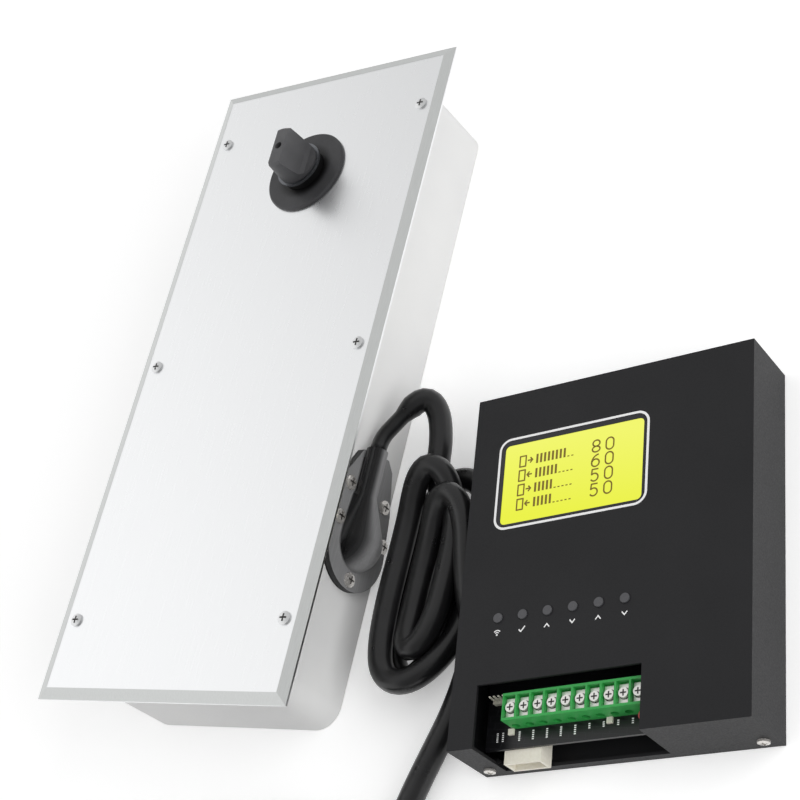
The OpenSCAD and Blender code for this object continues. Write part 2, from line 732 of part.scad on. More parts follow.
module rack_bar() {
    pitch = PI * drive_m;
    gaps = ceil(rack_l / pitch / 2);
    tooth = [[1.25 * drive_m, pitch / 4 - 0.12 + 1.25 * drive_m * tan(20)],
             [-1.05 * drive_m, pitch / 4 - 0.12 - 1.05 * drive_m * tan(20)]];
    color("gray") difference() {
        union() {
            translate([rack_x - rack_w / 2, -rack_l / 2, rack_bottom]) cube([rack_w, rack_l, rack_t]);
            translate([0, 0, rack_bottom]) linear_extrude(height = rack_t)
                for (k = [-gaps + 1:gaps]) translate([-rack_r, (k - 0.5) * pitch])
                    polygon([[-tooth[0][0] - 0.1, -tooth[0][1]], [-tooth[0][0], -tooth[0][1]],
                             [-tooth[1][0] - 0.1, -tooth[1][1]], [-tooth[1][0] - 0.1, tooth[1][1]],
                             [-tooth[0][0], tooth[0][1]], [-tooth[0][0] - 0.1, tooth[0][1]]]);
            translate([rack_x, -rack_l / 2 + 0.1, cyl_z]) rotate([90, 0, 0])
                cylinder(d = rod_d, h = -rack_l / 2 - cyl_y - piston_l / 2 + 0.1, $fn = fn_mid);
            translate([rack_x, cyl_y + piston_l / 2 + 0.1, cyl_z]) rotate([90, 0, 0])
                cylinder(d = rod_d - 2, h = piston_l + 0.1, $fn = fn_mid);
        }
    }
}

module along_cylinder() {
    translate([rack_x, cyl_y, cyl_z]) rotate([-90, 0, 0]) children();
}

module piston() {
    color("silver") along_cylinder() translate([0, 0, -piston_l / 2])
        difference() {
            cylinder(d = cyl_in_d - 2 * slip, h = piston_l, $fn = fn_big);
            bore(rod_d - 2 + 2 * seat, -through, piston_l + through);
        }
}

module spring_cylinder() {
    color("lightgray") along_cylinder() translate([0, 0, -cyl_l / 2]) ring(cyl_d, cyl_in_d, cyl_l, fn_big);
}

module cartridge_caps() {
    color("gray") along_cylinder() for (far = [0, 1]) mirror([0, 0, far]) difference() {
        union() {
            translate([0, 0, cyl_l / 2]) cylinder(d = cyl_d, h = cap_l - cap_plug_l, $fn = fn_big);
            translate([0, 0, cyl_l / 2 - cap_plug_l]) cylinder(d = cyl_in_d - 2 * seat, h = cap_plug_l + 0.1, $fn = fn_big);
        }
        if (far == 0) bore(rod_d + 2 * slip, 0, cyl_l);
    }
}

module cartridge_clamps() {
    color("slategray") for (y = clamp_y) translate([rack_x, y - 5, 0]) difference() {
        union() {
            translate([-clamp_w / 2, 0, deck_z]) cube([clamp_w, 10, clamp_h]);
            translate([0, 10, cyl_z]) rotate([90, 0, 0]) cylinder(d = cyl_d + 5, h = 10, $fn = fn_big);
        }
        translate([0, 10 + through, cyl_z]) rotate([90, 0, 0])
            cylinder(d = cyl_d + 2 * seat, h = 10 + 2 * through, $fn = fn_big);
        translate([-clamp_w, -through, deck_z - 10]) cube([2 * clamp_w, 12, 10]);
        for (sx = [-1, 1]) translate([sx * clamp_bolt, 5, 0]) bore(3 + 2 * slip, 0, cyl_z);
    }
}

// Coil spring along +Y from y0, squared off at its ends by closed turns
module coil_spring(y0) {
    steps = 14;
    rise = spring_room - wire_d;
    path = [for (k = [0:spring_turns * steps]) let (a = 360 * k / steps)
        [rack_x + spring_mean_d / 2 * cos(a), y0 + wire_d / 2 + rise * k / (spring_turns * steps),
         cyl_z + spring_mean_d / 2 * sin(a)]];
    sweep(path, wire_d / 2 - 0.05, 8, [0, 1, 0]);
}

module front_spring() {
    color("steelblue") coil_spring(cyl_y + piston_l / 2);
}

module rear_spring() {
    color("steelblue") coil_spring(cyl_y - piston_l / 2 - spring_room);
}

module rack_guide() {
    color("gray") translate([rack_x - rack_w / 2 - slip - 8, -14, deck_z]) difference() {
        cube([8, 28, rack_top + 2 - deck_z]);
        for (y = [6, 22]) translate([4, y, 0]) bore(3, -through, 30, fn_small);
        translate([-(rack_x - rack_w / 2 - slip - 8), 14, 0]) bore(chassis_boss_d + 2 * slip, -through, 30, fn_big);
    }
}

// ---------- cable gland ----------

// Things on the +X wall: drawn with Z out of the wall, X along the box and Y up
module on_wall(x) {
    translate([x, 0, 0]) rotate([90, 0, 90]) children();
}

module gland_outline(grow = 0) {
    r = gland_r + grow;
    nose = spout_y + 3 + grow;
    translate([gland_y, gland_z]) circle(r = r, $fn = fn_big);
    polygon([[gland_y, gland_z - r], [-186, 3.5 - grow], [nose - 5, 10 - grow], [nose, 15], [nose - 1.5, 30],
        [nose - 4, 36 + grow], [-176, 43 + grow], [-184, gland_shoulder + grow], [gland_y, gland_z + r]]);
}

module gland_holes(d, h) {
    for (p = gland_screw_at) translate(p) bore(d, -through, h + through, fn_small);
}

module gland_gasket() {
    color([0.1, 0.1, 0.1]) on_wall(box_w / 2) difference() {
        linear_extrude(height = gasket_t) gland_outline();
        gland_holes(4.4, gasket_t);
        translate([gland_hole_y, gland_hole_z, 0]) bore(wall_hole, -through, gasket_t + through);
    }
}

// Egg-shaped hump over the bend of the cable, which runs out into the spout
module hump(shrink) {
    hull() {
        translate([0.5, egg_y, egg_z]) scale([egg_flat, 1, 1]) sphere(r = egg_r - shrink, $fn = 48);
        for (x = [spout_x - gland_x, 4.5]) translate([x, egg_nose, spout_z])
            sphere(r = shrink > 0 ? neck_d / 2 + slip : spout_d / 2, $fn = fn_mid);
    }
}

module gland_cover() {
    web_w = 9;
    color([0.25, 0.25, 0.25]) difference() {
        union() {
            on_wall(gland_x) linear_extrude(height = gland_t) gland_outline();
            difference() {
                union() {
                    translate([gland_x, 0, 0]) hump(0);
                    translate([spout_x, spout_y, spout_z]) rotate([90, 0, 0])
                        cylinder(d = spout_d, h = spout_y - egg_nose, $fn = fn_mid);
                    translate([gland_x + 1, egg_nose, spout_z - web_w / 2])
                        cube([spout_x - gland_x - 1, spout_y - egg_nose - 5, web_w]);
                }
                translate([gland_x + 0.5 - 2 * egg_r, gland_y - 2 * gland_r, -gland_r])
                    cube([2 * egg_r, 5 * gland_r, 4 * gland_r]);
            }
        }
        translate([gland_x, 0, 0]) hump(egg_wall);
        translate([spout_x, spout_y + through, spout_z]) rotate([90, 0, 0])
            cylinder(d = neck_d + 2 * slip, h = spout_y - egg_nose, $fn = fn_mid);
        on_wall(gland_x) gland_holes(4.4, gland_t + 1);
    }
}

module gland_screws() {
    color("silver") on_wall(gland_x + gland_t) for (p = gland_screw_at)
        translate(p) pan_screw(3, gland_t + gasket_t + box_wall + 2, 7.6, 1.8);
}

// ---------- motor cable ----------

module cable_run() {
    color([0.08, 0.08, 0.08]) sweep(smooth(run_route, 3), cable_r, 10, neck = neck_d / 2);
}

module hank_outline(w, l) {
    square([w, l - w], center = true);
    for (s = [-1, 1]) translate([0, s * (l - w) / 2]) circle(d = w, $fn = fn_mid);
}

module cable_hank() {
    color([0.08, 0.08, 0.08]) translate([hank_x, hank_y, 0]) linear_extrude(height = hank_layers * cable_d)
        difference() {
            hank_outline(hank_w + cable_d, hank_l + cable_d);
            hank_outline(hank_w - cable_d, hank_l - cable_d);
        }
}

module cable_tail() {
    color([0.08, 0.08, 0.08]) sweep(smooth(tail_route, 3), cable_r, 10);
}

module storage_coil() {
    color([0.08, 0.08, 0.08]) translate([coil_x, coil_y, 0]) rotate_extrude($fn = fn_big)
        translate([coil_mean / 2 - coil_rows * cable_r, 0]) square([coil_rows * cable_d, coil_layers * cable_d]);
}

module cable_lead() {
    color([0.08, 0.08, 0.08]) sweep(smooth(lead_route, 3), cable_r, 10);
}

module coil_tie() {
    inner = [coil_rows * cable_d + 2 * fine_gap, coil_layers * cable_d + 2 * fine_gap];
    color([0.2, 0.2, 0.2]) translate([coil_x - coil_mean / 2, coil_y, coil_layers * cable_r]) difference() {
        translate([-inner[0] / 2 - 1, -4, -coil_layers * cable_r]) cube([inner[0] + 2, 8, inner[1] + 1]);
        translate([-inner[0] / 2, -4 - through, -coil_layers * cable_r - through])
            cube([inner[0], 8 + 2 * through, inner[1] + through]);
    }
}

module cable_plug() {
    plug_x = lead_route[len(lead_route) - 1][0];
    plug_y = lead_route[len(lead_route) - 1][1];
    color("beige") translate([plug_x - plug_size[0], plug_y - plug_size[1] / 2, 0]) difference() {
        union() {
            cube(plug_size);
            translate([6, plug_size[1] / 2 - 3, plug_size[2] - 0.1]) cube([16, 6, 1.6]);
        }
        for (k = [0:3]) translate([-through, 2.6 + k * 3.2, 3.4]) cube([9 + through, 2.2, 4.2]);
    }
}

// ---------- controller ----------

module controller_base() {
    base_w = ctrl_w - 2 * ctrl_wall - 2 * case_fit;
    base_l = ctrl_l - 2 * ctrl_wall - 2 * case_fit;
    color([0.25, 0.25, 0.26]) at_controller() difference() {
        union() {
            translate([-base_w / 2, -base_l / 2, 0]) cube([base_w, base_l, ctrl_wall]);
            for (p = case_screw_at) let (x0 = max(-base_w / 2, p[0] - 7), x1 = min(base_w / 2, p[0] + 7))
                translate([x0, p[1] * (base_l / 2 - ctrl_wall / 2) - ctrl_wall / 2, 0])
                    cube([x1 - x0, ctrl_wall, case_screw_z + 5]);
        }
        for (a = [45:90:359]) rotate([0, 0, a]) translate([wall_hole_pcd / 2, 0, 0])
            bore(wall_hole_d, -through, ctrl_wall + through);
        for (p = case_screw_at) translate([p[0], 0, case_screw_z]) rotate([-90 * p[1], 0, 0])
            bore(3 + 2 * slip, base_l / 2 - 2 * ctrl_wall, base_l / 2 + through, fn_small);
    }
}

module controller_cover() {
    color([0.2, 0.2, 0.21]) at_controller() difference() {
        translate([-ctrl_w / 2, -ctrl_l / 2, 0]) cube([ctrl_w, ctrl_l, ctrl_h]);
        translate([-ctrl_w / 2 + ctrl_wall, -ctrl_l / 2 + ctrl_wall, -through])
            cube([ctrl_w - 2 * ctrl_wall, ctrl_l - 2 * ctrl_wall, front_z + through]);
        translate([lcd_x, lcd_y, front_z - through]) slab(lcd_w, lcd_h, ctrl_wall + 2 * through, lcd_corner);
        for (p = button_at) translate(p) bore(button_d + 2 * fine_gap / 2, front_z - through, ctrl_h + through);
        translate([bay_x[0], -ctrl_l / 2 - through, 5])
            cube([bay_x[1] - bay_x[0], bay_top + ctrl_l / 2 + through, ctrl_h]);
        for (p = case_screw_at) translate([p[0], 0, case_screw_z]) rotate([-90 * p[1], 0, 0])
            bore(3.4, ctrl_l / 2 - 2 * ctrl_wall, ctrl_l / 2 + through, fn_small);
    }
}

module case_screws() {
    color("silver") at_controller() for (p = case_screw_at)
        translate([p[0], p[1] * ctrl_l / 2, case_screw_z]) rotate([-90 * p[1], 0, 0]) pan_screw(3, 5, 5.6, 1.6);
}

module board_spacers() {
    color("goldenrod") {
        at_controller() {
            for (p = board_spacer_at) translate([p[0], p[1], ctrl_wall]) ring(spacer_d, 3, board_z - ctrl_wall, fn_small);
            for (p = keys_spacer_at) translate([p[0], p[1], keys_z + board_t])
                ring(spacer_d, 3, front_z - keys_z - board_t, fn_small);
        }
        for (p = inner_spacer_at) translate([p[0], p[1], deck_z]) ring(spacer_d, 3, inner_board_z - deck_z, fn_small);
    }
}

module control_board() {
    color([0.12, 0.12, 0.13]) at_controller() difference() {
        translate([board_x[0], board_y[0], board_z])
            cube([board_x[1] - board_x[0], board_y[1] - board_y[0], board_t]);
        for (p = board_spacer_at) translate(p) bore(3.2, board_z - through, board_top + through, fn_small);
    }
}

// Row of screw clamps between upright fins
module terminal_block() {
    length = term_n * term_pitch;
    fin = 1;
    color("green") at_controller() translate([term_x, term_y, board_top]) difference() {
        cube([length, term_w, term_h]);
        for (k = [0:term_n - 1]) translate([k * term_pitch + fin / 2, 1.2, term_h - 3.4])
            cube([term_pitch - fin, term_w - 2.4, 3.4 + through]);
        for (k = [0:term_n - 1]) translate([(k + 0.5) * term_pitch, -through, 3.6]) rotate([-90, 0, 0])
            cylinder(d = 4, h = 5, $fn = fn_small);
    }
}

module terminal_screws() {
    plate = term_pitch - 1.6;
    color("silver") at_controller() for (k = [0:term_n - 1])
        translate([term_x + (k + 0.5) * term_pitch, term_y + term_w / 2, board_top + term_h - 3.4]) difference() {
            union() {
                translate([-plate / 2, -4.4, 0]) cube([plate, 8.8, 0.9]);
                translate([0, 0, 0.8]) cylinder(d = plate - 0.8, h = 1.7, $fn = fn_small);
            }
            translate([0, 0, 2.5]) cross_recess(2.8, 0.8);
        }
}

module motor_socket() {
    color("beige") at_controller() translate([-52.7, board_y[0] - 6.4, board_z - 9.5]) difference() {
        cube([18.7, 12, 9.5]);
        translate([1.2, -through, 1.2]) cube([16.3, 8, 7.1]);
    }
}

module board_parts() {
    at_controller() translate([0, 0, board_top]) {
        color("ivory") for (x = [-48.7, 0.5]) translate([x - 1.4, -79.5, 0]) cube([2.8, 2.8, 1.2]);
        color("ivory") translate([19.3, -79.6, 0]) cylinder(d = 5, h = 6, $fn = fn_small);
        color([0.1, 0.1, 0.1]) translate([-58.4, -64.6, 0]) {
            cube([9.2, 2.6, 2.5]);
            for (k = [0:3]) translate([0.9 + k * 2.3, 1, 0]) cube([0.6, 0.6, 8]);
        }
    }
}

module display_module() {
    outer = [lcd_w + 2 * lcd_frame + 2, lcd_h + 2 * lcd_frame + 6];
    color("dimgray") at_controller() translate([lcd_x, lcd_y, front_z - 6]) slab(outer[0], outer[1], 6, 1);
}

module display_window() {
    color("yellowgreen") at_controller() translate([lcd_x, lcd_y, front_z])
        slab(lcd_w - 2 * seat, lcd_h - 2 * seat, ctrl_wall - 0.2, lcd_corner - seat);
}

module keypad_board() {
    color("darkgreen") at_controller() difference() {
        union() {
            translate([-64, button_y - 7, keys_z]) cube([90, 14, board_t]);
            for (p = button_at) translate([p[0], p[1], keys_z + board_t]) {
                translate([-3, -3, -0.1]) cube([6, 6, key_switch_h - 0.9]);
                cylinder(d = 3.2, h = key_switch_h, $fn = fn_small);
            }
        }
        for (p = keys_spacer_at) translate(p) bore(3.2, keys_z - through, keys_z + board_t + through, fn_small);
    }
}

module button(k) {
    foot = keys_z + board_t + key_switch_h + button_travel + 0.1;
    color([0.3, 0.3, 0.31]) at_controller() translate([button_at[k - 1][0], button_at[k - 1][1], 0]) {
        translate([0, 0, foot]) cylinder(d = button_d, h = ctrl_h + button_proud - foot, $fn = fn_mid);
        translate([0, 0, front_z - slip - button_lip]) cylinder(d = button_d + 2, h = button_lip, $fn = fn_mid);
    }
}

cement_box();
cover_plate();
cover_screws();
flange_nuts();
chassis();
levelling_screws();
bridge_plate();
frame_screws();
spindle();
drive_gear();
rack_pinion();
dust_cap();
snap_ring();
lip_seal();
bearing_outer_rings();
bearing_inner_rings();
bearing_balls();
idler_shaft();
idler_gear();
motor_housing();
motor_rotor();
motor_pinion();
terminal_board();
wiring_loom();
rack_bar();
piston();
spring_cylinder();
cartridge_caps();
cartridge_clamps();
front_spring();
rear_spring();
rack_guide();
gland_gasket();
gland_cover();
gland_screws();
cable_run();
cable_hank();
cable_tail();
storage_coil();
cable_lead();
coil_tie();
cable_plug();
controller_base();
controller_cover();
case_screws();
board_spacers();
control_board();
terminal_block();
terminal_screws();
motor_socket();
board_parts();
display_module();
display_window();
keypad_board();
button(1);  // button_1
button(2);  // button_2
button(3);  // button_3
button(4);  // button_4
button(5);  // button_5
button(6);  // button_6
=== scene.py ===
# %% [markdown]
# # An electric floor spring
# A floor spring closes a glass door from under the floor. A sunk steel box holds the drive, a
# stainless plate covers it, and only the spindle stands up through the plate to carry the door.
# A black cable runs from the box to a small controller that hangs on a wall.
#
# The engineering model already has every solid in its right place. This lesson dresses it: each
# solid stays or is swapped for a better shape, and each gets the finish of its real material.

# %% Load the engineering model
import math
import json

import bpy
import bmesh
import numpy as np
from mathutils import Matrix, Vector

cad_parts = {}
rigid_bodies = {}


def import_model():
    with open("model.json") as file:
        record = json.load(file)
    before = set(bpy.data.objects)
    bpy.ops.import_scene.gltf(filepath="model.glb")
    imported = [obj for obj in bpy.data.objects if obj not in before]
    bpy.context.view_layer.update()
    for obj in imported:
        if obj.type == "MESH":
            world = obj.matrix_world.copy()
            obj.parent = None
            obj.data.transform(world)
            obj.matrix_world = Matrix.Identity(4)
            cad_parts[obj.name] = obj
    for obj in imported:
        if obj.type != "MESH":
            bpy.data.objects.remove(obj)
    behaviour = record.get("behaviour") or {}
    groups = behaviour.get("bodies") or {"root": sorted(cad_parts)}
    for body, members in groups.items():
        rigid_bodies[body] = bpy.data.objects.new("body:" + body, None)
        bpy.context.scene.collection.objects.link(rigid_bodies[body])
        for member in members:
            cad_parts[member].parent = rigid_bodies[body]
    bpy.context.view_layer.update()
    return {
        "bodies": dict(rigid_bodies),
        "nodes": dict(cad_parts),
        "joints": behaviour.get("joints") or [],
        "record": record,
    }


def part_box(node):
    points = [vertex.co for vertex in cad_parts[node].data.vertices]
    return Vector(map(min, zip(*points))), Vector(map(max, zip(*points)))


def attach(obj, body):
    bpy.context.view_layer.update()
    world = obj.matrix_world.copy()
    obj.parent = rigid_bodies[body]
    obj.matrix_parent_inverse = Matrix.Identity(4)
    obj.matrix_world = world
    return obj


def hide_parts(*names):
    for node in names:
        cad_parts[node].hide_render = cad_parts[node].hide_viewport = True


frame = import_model()
nodes = frame["nodes"]

# %% [markdown]
# All numbers that come from a drawing are in millimetres, and Blender works in metres. One value
# does the change, so that the millimetres stay readable wherever a piece is made.

# %% Millimetres to metres
MM = 0.001


def metres(points):
    """Points in millimetres as an array in metres."""
    return np.array(points, float) * MM


# %% [markdown]
# The camera looks down at the set from its lower right, with a long lens, so that the plate's
# edges stay nearly parallel. A camera is a rotation and a place: its columns say where its right,
# its up and its back point.

# %% Camera
CAMERA_AT = (0.6125, -0.5210, 0.6665)
CAMERA_RIGHT = Vector((0.8080, 0.2197, -0.5467))
CAMERA_UP = Vector((0.0792, 0.8789, 0.4704))
LENS_MM, SENSOR_MM = 80.2, 36
CLIP = (0.01, 20)

camera_back = CAMERA_RIGHT.cross(CAMERA_UP).normalized()
camera_right = CAMERA_UP.cross(camera_back).normalized()
camera_up = camera_back.cross(camera_right)
camera = bpy.data.objects.new("studio_camera", bpy.data.cameras.new("studio_camera"))
bpy.context.scene.collection.objects.link(camera)
camera.matrix_world = Matrix.Translation(CAMERA_AT) @ Matrix(
    (camera_right, camera_up, camera_back)
).transposed().to_4x4()
camera.data.lens = LENS_MM
camera.data.sensor_width = SENSOR_MM
camera.data.clip_start, camera.data.clip_end = CLIP
bpy.context.scene.camera = camera
print("camera at", CAMERA_AT, "lens", LENS_MM)

# %% [markdown]
# The cable is one length of flexible PVC sleeve, 12.5 mm thick. It leaves the gland's spout, bends
# over in a low arch, is gathered into a loose hank of three turns, runs on along the floor, and
# what is left over is wound into a round coil that ends in a connector. A curve through points
# gives such a shape. The loose parts are given point by point, each with its height above the
# floor: LOW for a strand that lies on the floor, HIGH for one that lies on another.

# %% The cable's route: arch
CABLE_D = 12.5
CABLE_R = CABLE_D / 2
NECK_D = 8.8
LOW, HIGH = CABLE_R, 3 * CABLE_R

arch = [
    (70.85, -162, 31.2), (71.15, -154.8, 30.6), (73.75, -149.6, 30.1), (78.15, -144, 29.7),
    (83.65, -137.2, 29.7), (89.5, -131.9, 28.8), (94.2, -132.2, 25.6), (97.7, -138.5, 22.4),
    (99.6, -147.5, 20.4), (100.7, -156.5, 19.2), (101, -164, 18.75),
    (103, -176, 17), (107.5, -188, 13), (112.5, -200, 9), (116, -213, LOW), (117, -228, LOW),
]

# %% [markdown]
# The hank has three turns that lie loosely over each other. Each turn is a list of points: down
# one side, round the near end, up the other side and over the top. The first turn lies on the
# floor, the second climbs on it, and the third closes over both.

# %% The cable's route: hank
first_turn = [
    (117, -245, LOW), (116, -258, LOW), (111, -270, LOW), (103, -275.5, LOW), (95, -270, LOW),
    (90.5, -258, LOW), (89.5, -243, LOW), (89.5, -226, LOW), (89.5, -208, LOW), (91, -192, LOW),
    (95.5, -178, LOW), (103, -169.5, LOW), (113, -168, LOW), (122, -173, LOW), (127.5, -184, LOW),
]
second_turn = [
    (129, -200, LOW), (129, -218, LOW), (129, -236, LOW), (128, -252, LOW + 2), (124, -267, LOW + 7),
    (116, -278.5, LOW + 11), (105, -281.5, HIGH), (96, -275, HIGH), (92, -262, HIGH),
    (90.5, -245, HIGH), (90.5, -226, HIGH), (91, -208, HIGH), (92.5, -192, HIGH + 2),
    (96.5, -179, HIGH + 8), (103.5, -171.5, HIGH + 12), (111.5, -173, HIGH + 10),
    (117, -183, HIGH + 4),
]
third_turn = [
    (120, -197, HIGH), (121.5, -214, HIGH), (121.5, -231, HIGH), (120.5, -247, HIGH),
    (116.5, -259, HIGH), (110.5, -265, HIGH), (105.5, -260, HIGH - 1), (103.5, -248, HIGH - 4),
    (103.5, -232, HIGH - 4), (104.5, -216, HIGH - 3), (107, -201, HIGH), (111.5, -190, HIGH + 7),
    (119.5, -186, HIGH + 10), (127, -193, HIGH + 8), (131, -206, HIGH + 5), (133, -221, HIGH + 2),
]
hank = first_turn + second_turn + third_turn
print("points in the hank:", len(hank))

# %% [markdown]
# The tail comes down from the hank and runs along the floor. What is left over is wound into a round
# coil of three turns, in which the middle turns lie inside and above the others, and a short lead
# comes down from the top of the coil to the connector.

# %% The cable's route: tail, coil and lead
tail = [
    (135, -236, LOW + 10), (136.8, -244, LOW + 6.5), (137.8, -253, LOW + 3), (137.8, -264, LOW + 0.8),
    (136.8, -275, LOW), (134.3, -290, LOW), (129.8, -305, LOW), (124.3, -322, LOW),
    (119.3, -340, LOW), (115.8, -357, LOW), (113.8, -371, LOW), (113.3, -390, LOW),
]
COIL_AT = (52, -410)
COIL_OUTER, COIL_INNER = 61.25, 48.75
coil = []
for degrees in range(0, 1171, 15):
    radius = np.interp(degrees, (300, 360, 1010, 1080),
                       (COIL_OUTER, COIL_INNER, COIL_INNER, COIL_OUTER))
    height = np.interp(degrees, (660, 720), (LOW, HIGH))
    a = -math.radians(degrees)
    coil.append((COIL_AT[0] + radius * math.cos(a), COIL_AT[1] + radius * math.sin(a), height))
LEAD_Y = COIL_AT[1] - COIL_OUTER
lead = [
    (40, LEAD_Y, HIGH - 0.5), (30, LEAD_Y, HIGH - 2.5), (21, LEAD_Y, LOW + 8), (10, LEAD_Y, LOW + 4),
    (0, LEAD_Y, LOW + 1.2), (-8, LEAD_Y, LOW), (-14, LEAD_Y, LOW),
]


# %% [markdown]
# The points are joined by a smooth line that passes through each of them, and the line is cut
# again into short steps of equal length. A few rounds of averaging ease its bends, as a stiff
# sleeve does, and no point may sink below the height at which the sleeve rests on the floor.

# %% From points to an even line
STEP = 2.5
FINE_STEPS = 12
EASE_ROUNDS = 40


def smooth_line(points):
    """A Catmull-Rom line through the points, cut into even steps."""
    p = np.array(points, float)
    p = np.vstack([2 * p[0] - p[1], p, 2 * p[-1] - p[-2]])
    fine = []
    for i in range(1, len(p) - 2):
        a, b, c, d = p[i - 1:i + 3]
        for f in np.linspace(0, 1, FINE_STEPS, endpoint=False):
            fine.append(0.5 * (2 * b + (c - a) * f + (2 * a - 5 * b + 4 * c - d) * f**2
                               + (3 * b - a - 3 * c + d) * f**3))
    fine = np.array(fine + [p[-2]])
    for _ in range(EASE_ROUNDS):
        fine[1:-1] = 0.25 * fine[:-2] + 0.5 * fine[1:-1] + 0.25 * fine[2:]
    fine[:, 2] = np.maximum(fine[:, 2], CABLE_R)
    along = np.concatenate([[0], np.cumsum(np.linalg.norm(np.diff(fine, axis=0), axis=1))])
    even = np.linspace(0, along[-1], int(along[-1] / STEP) + 1)
    return np.stack([np.interp(even, along, fine[:, k]) for k in range(3)], axis=1)


cable_line = metres(smooth_line(arch + hank + tail + coil + lead))

# %% [markdown]
# The sleeve is a tube of rings set square to the line. Each ring takes over the direction of the
# ring before it, so the tube never twists. A second helper turns any finished mesh into an object,
# with all its faces looking outwards.

# %% A tube along a line
TUBE_SIDES = 24


def tube_mesh(name, line, radius_at):
    """A closed tube: radius_at(step, angles) gives the radii of one ring."""
    mesh = bmesh.new()
    heading = np.gradient(line, axis=0)
    heading /= np.linalg.norm(heading, axis=1)[:, None]
    side = np.cross((0, 0, 1), heading[0])
    angles = np.linspace(0, 2 * math.pi, TUBE_SIDES, endpoint=False)
    rings = []
    for i, (at, along) in enumerate(zip(line, heading)):
        side = side - along * np.dot(side, along)
        side /= np.linalg.norm(side)
        up = np.cross(along, side)
        r = radius_at(i, angles)
        rings.append([mesh.verts.new(at + q * (math.cos(t) * side + math.sin(t) * up))
                      for q, t in zip(r, angles)])
    for a, b in zip(rings, rings[1:]):
        for k in range(TUBE_SIDES):
            n = (k + 1) % TUBE_SIDES
            mesh.faces.new((a[k], a[n], b[n], b[k]))
    mesh.faces.new(list(reversed(rings[0])))
    mesh.faces.new(rings[-1])
    return finished(name, mesh)


def finished(name, mesh, smooth=True):
    """Turns a bmesh into an object with outward faces."""
    bmesh.ops.recalc_face_normals(mesh, faces=mesh.faces)
    data = bpy.data.meshes.new(name)
    mesh.to_mesh(data)
    mesh.free()
    data.polygons.foreach_set("use_smooth", [smooth] * len(data.polygons))
    piece = bpy.data.objects.new(name, data)
    bpy.context.scene.collection.objects.link(piece)
    return piece


# %% [markdown]
# A strip of hook-and-loop tape holds the coil. It is pulled round three strands, so its outline is
# the tightest loop round three circles, and its end lies doubled on top.

# %% Coil tie
TAPE_WIDTH, TAPE_T, TAPE_GAP, TAPE_SIDES = 13, 1.0, 0.3, 72
LAP_START, LAP_END = 40, 100
INNER_FLOOR, OUTER_FLOOR = 0.3, 0.1
strands = [(COIL_AT[0] - COIL_INNER, LOW), (COIL_AT[0] - COIL_OUTER, LOW),
           (COIL_AT[0] - COIL_INNER, HIGH)]


def tape_loop(side, distance, lap):
    """One edge of the tape: a loop of points at a distance from the strands."""
    points = []
    for degrees in np.arange(0, 360, 360 / TAPE_SIDES):
        way = (math.cos(math.radians(degrees)), math.sin(math.radians(degrees)))
        x, z = max(strands, key=lambda c: c[0] * way[0] + c[1] * way[1])
        reach = CABLE_R + distance + (lap if LAP_START < degrees < LAP_END else 0)
        height = max(z + reach * way[1], OUTER_FLOOR if lap else INNER_FLOOR)
        points.append((x + reach * way[0], COIL_AT[1] + side * TAPE_WIDTH / 2, height))
    return metres(points)


tape = bmesh.new()
loops = [[tape.verts.new(p) for p in tape_loop(*edge)] for edge in
         ((-1, TAPE_GAP, 0), (-1, TAPE_GAP + TAPE_T, TAPE_T),
          (1, TAPE_GAP + TAPE_T, TAPE_T), (1, TAPE_GAP, 0))]
for a, b in zip(loops, loops[1:] + loops[:1]):
    for k in range(TAPE_SIDES):
        n = (k + 1) % TAPE_SIDES
        tape.faces.new((a[k], a[n], b[n], b[k]))
tie = finished("coil_tape", tape, smooth=False)
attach(tie, "root")
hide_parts("coil_tie")

# %% [markdown]
# The sleeve is slim where the gland grips it and swells behind the gland. Three cores lie under it
# and lift it a little, which is what splits its long highlight in two. The cable stands in for the
# plain solids of its run, hank, coil and lead.

# %% Cable
CORE_LIFT = 0.06
NECK_END, SWELL_END = 9, 12


def sleeve_radius(step, angles):
    """The sleeve is slim in the gland and swells where it leaves it."""
    mean = np.interp(step, (NECK_END, SWELL_END), (NECK_D / 2, CABLE_R)) * MM
    return mean * (1 + CORE_LIFT * (np.cos(3 * angles) - 1) / 2)


cable = tube_mesh("motor_cable", cable_line, sleeve_radius)
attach(cable, "root")
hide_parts("cable_run", "cable_hank", "cable_tail", "storage_coil", "cable_lead")
print("cable rings:", len(cable_line))

# %% [markdown]
# A material is a small tree of nodes. Two helpers keep the trees short. One turns a colour as it
# is written on a swatch (sRGB hex) into the linear numbers that a renderer works with. The other
# adds a node, sets it up and links it in one line.

# %% Colours and nodes
def linear(code):
    """'#rrggbb' as linear red, green, blue, alpha."""
    parts = [int(code[i:i + 2], 16) / 255 for i in (1, 3, 5)]
    return tuple(c / 12.92 if c <= 0.04045 else ((c + 0.055) / 1.055)**2.4 for c in parts) + (1,)


def add(tree, kind, sockets=None, **settings):
    """Adds a shader node. A socket gets a number, a colour or another node's output."""
    node = tree.nodes.new("ShaderNode" + kind)
    for name, value in settings.items():
        setattr(node, name, value)
    for name, value in (sockets or {}).items():
        if isinstance(value, bpy.types.NodeSocket):
            tree.links.new(value, node.inputs[name])
        else:
            node.inputs[name].default_value = value
    return node


# %% [markdown]
# The set lies on a plain white floor, under a large soft box and an even white room. The floor is
# matt paint. For the camera, and in the glossy parts, it gets a little extra white, so that it
# reads as a clean page but keeps its shadows. The extra white grows with the distance from the
# set, where the lamps no longer reach.

# %% Floor
FLOOR_SIZE = 8.0
FLOOR_GAP = 0.0003
FLOOR_LIFT, FAR_LIFT = 0.32, 0.9
LIFT_FROM, LIFT_TO = 0.4, 1.5

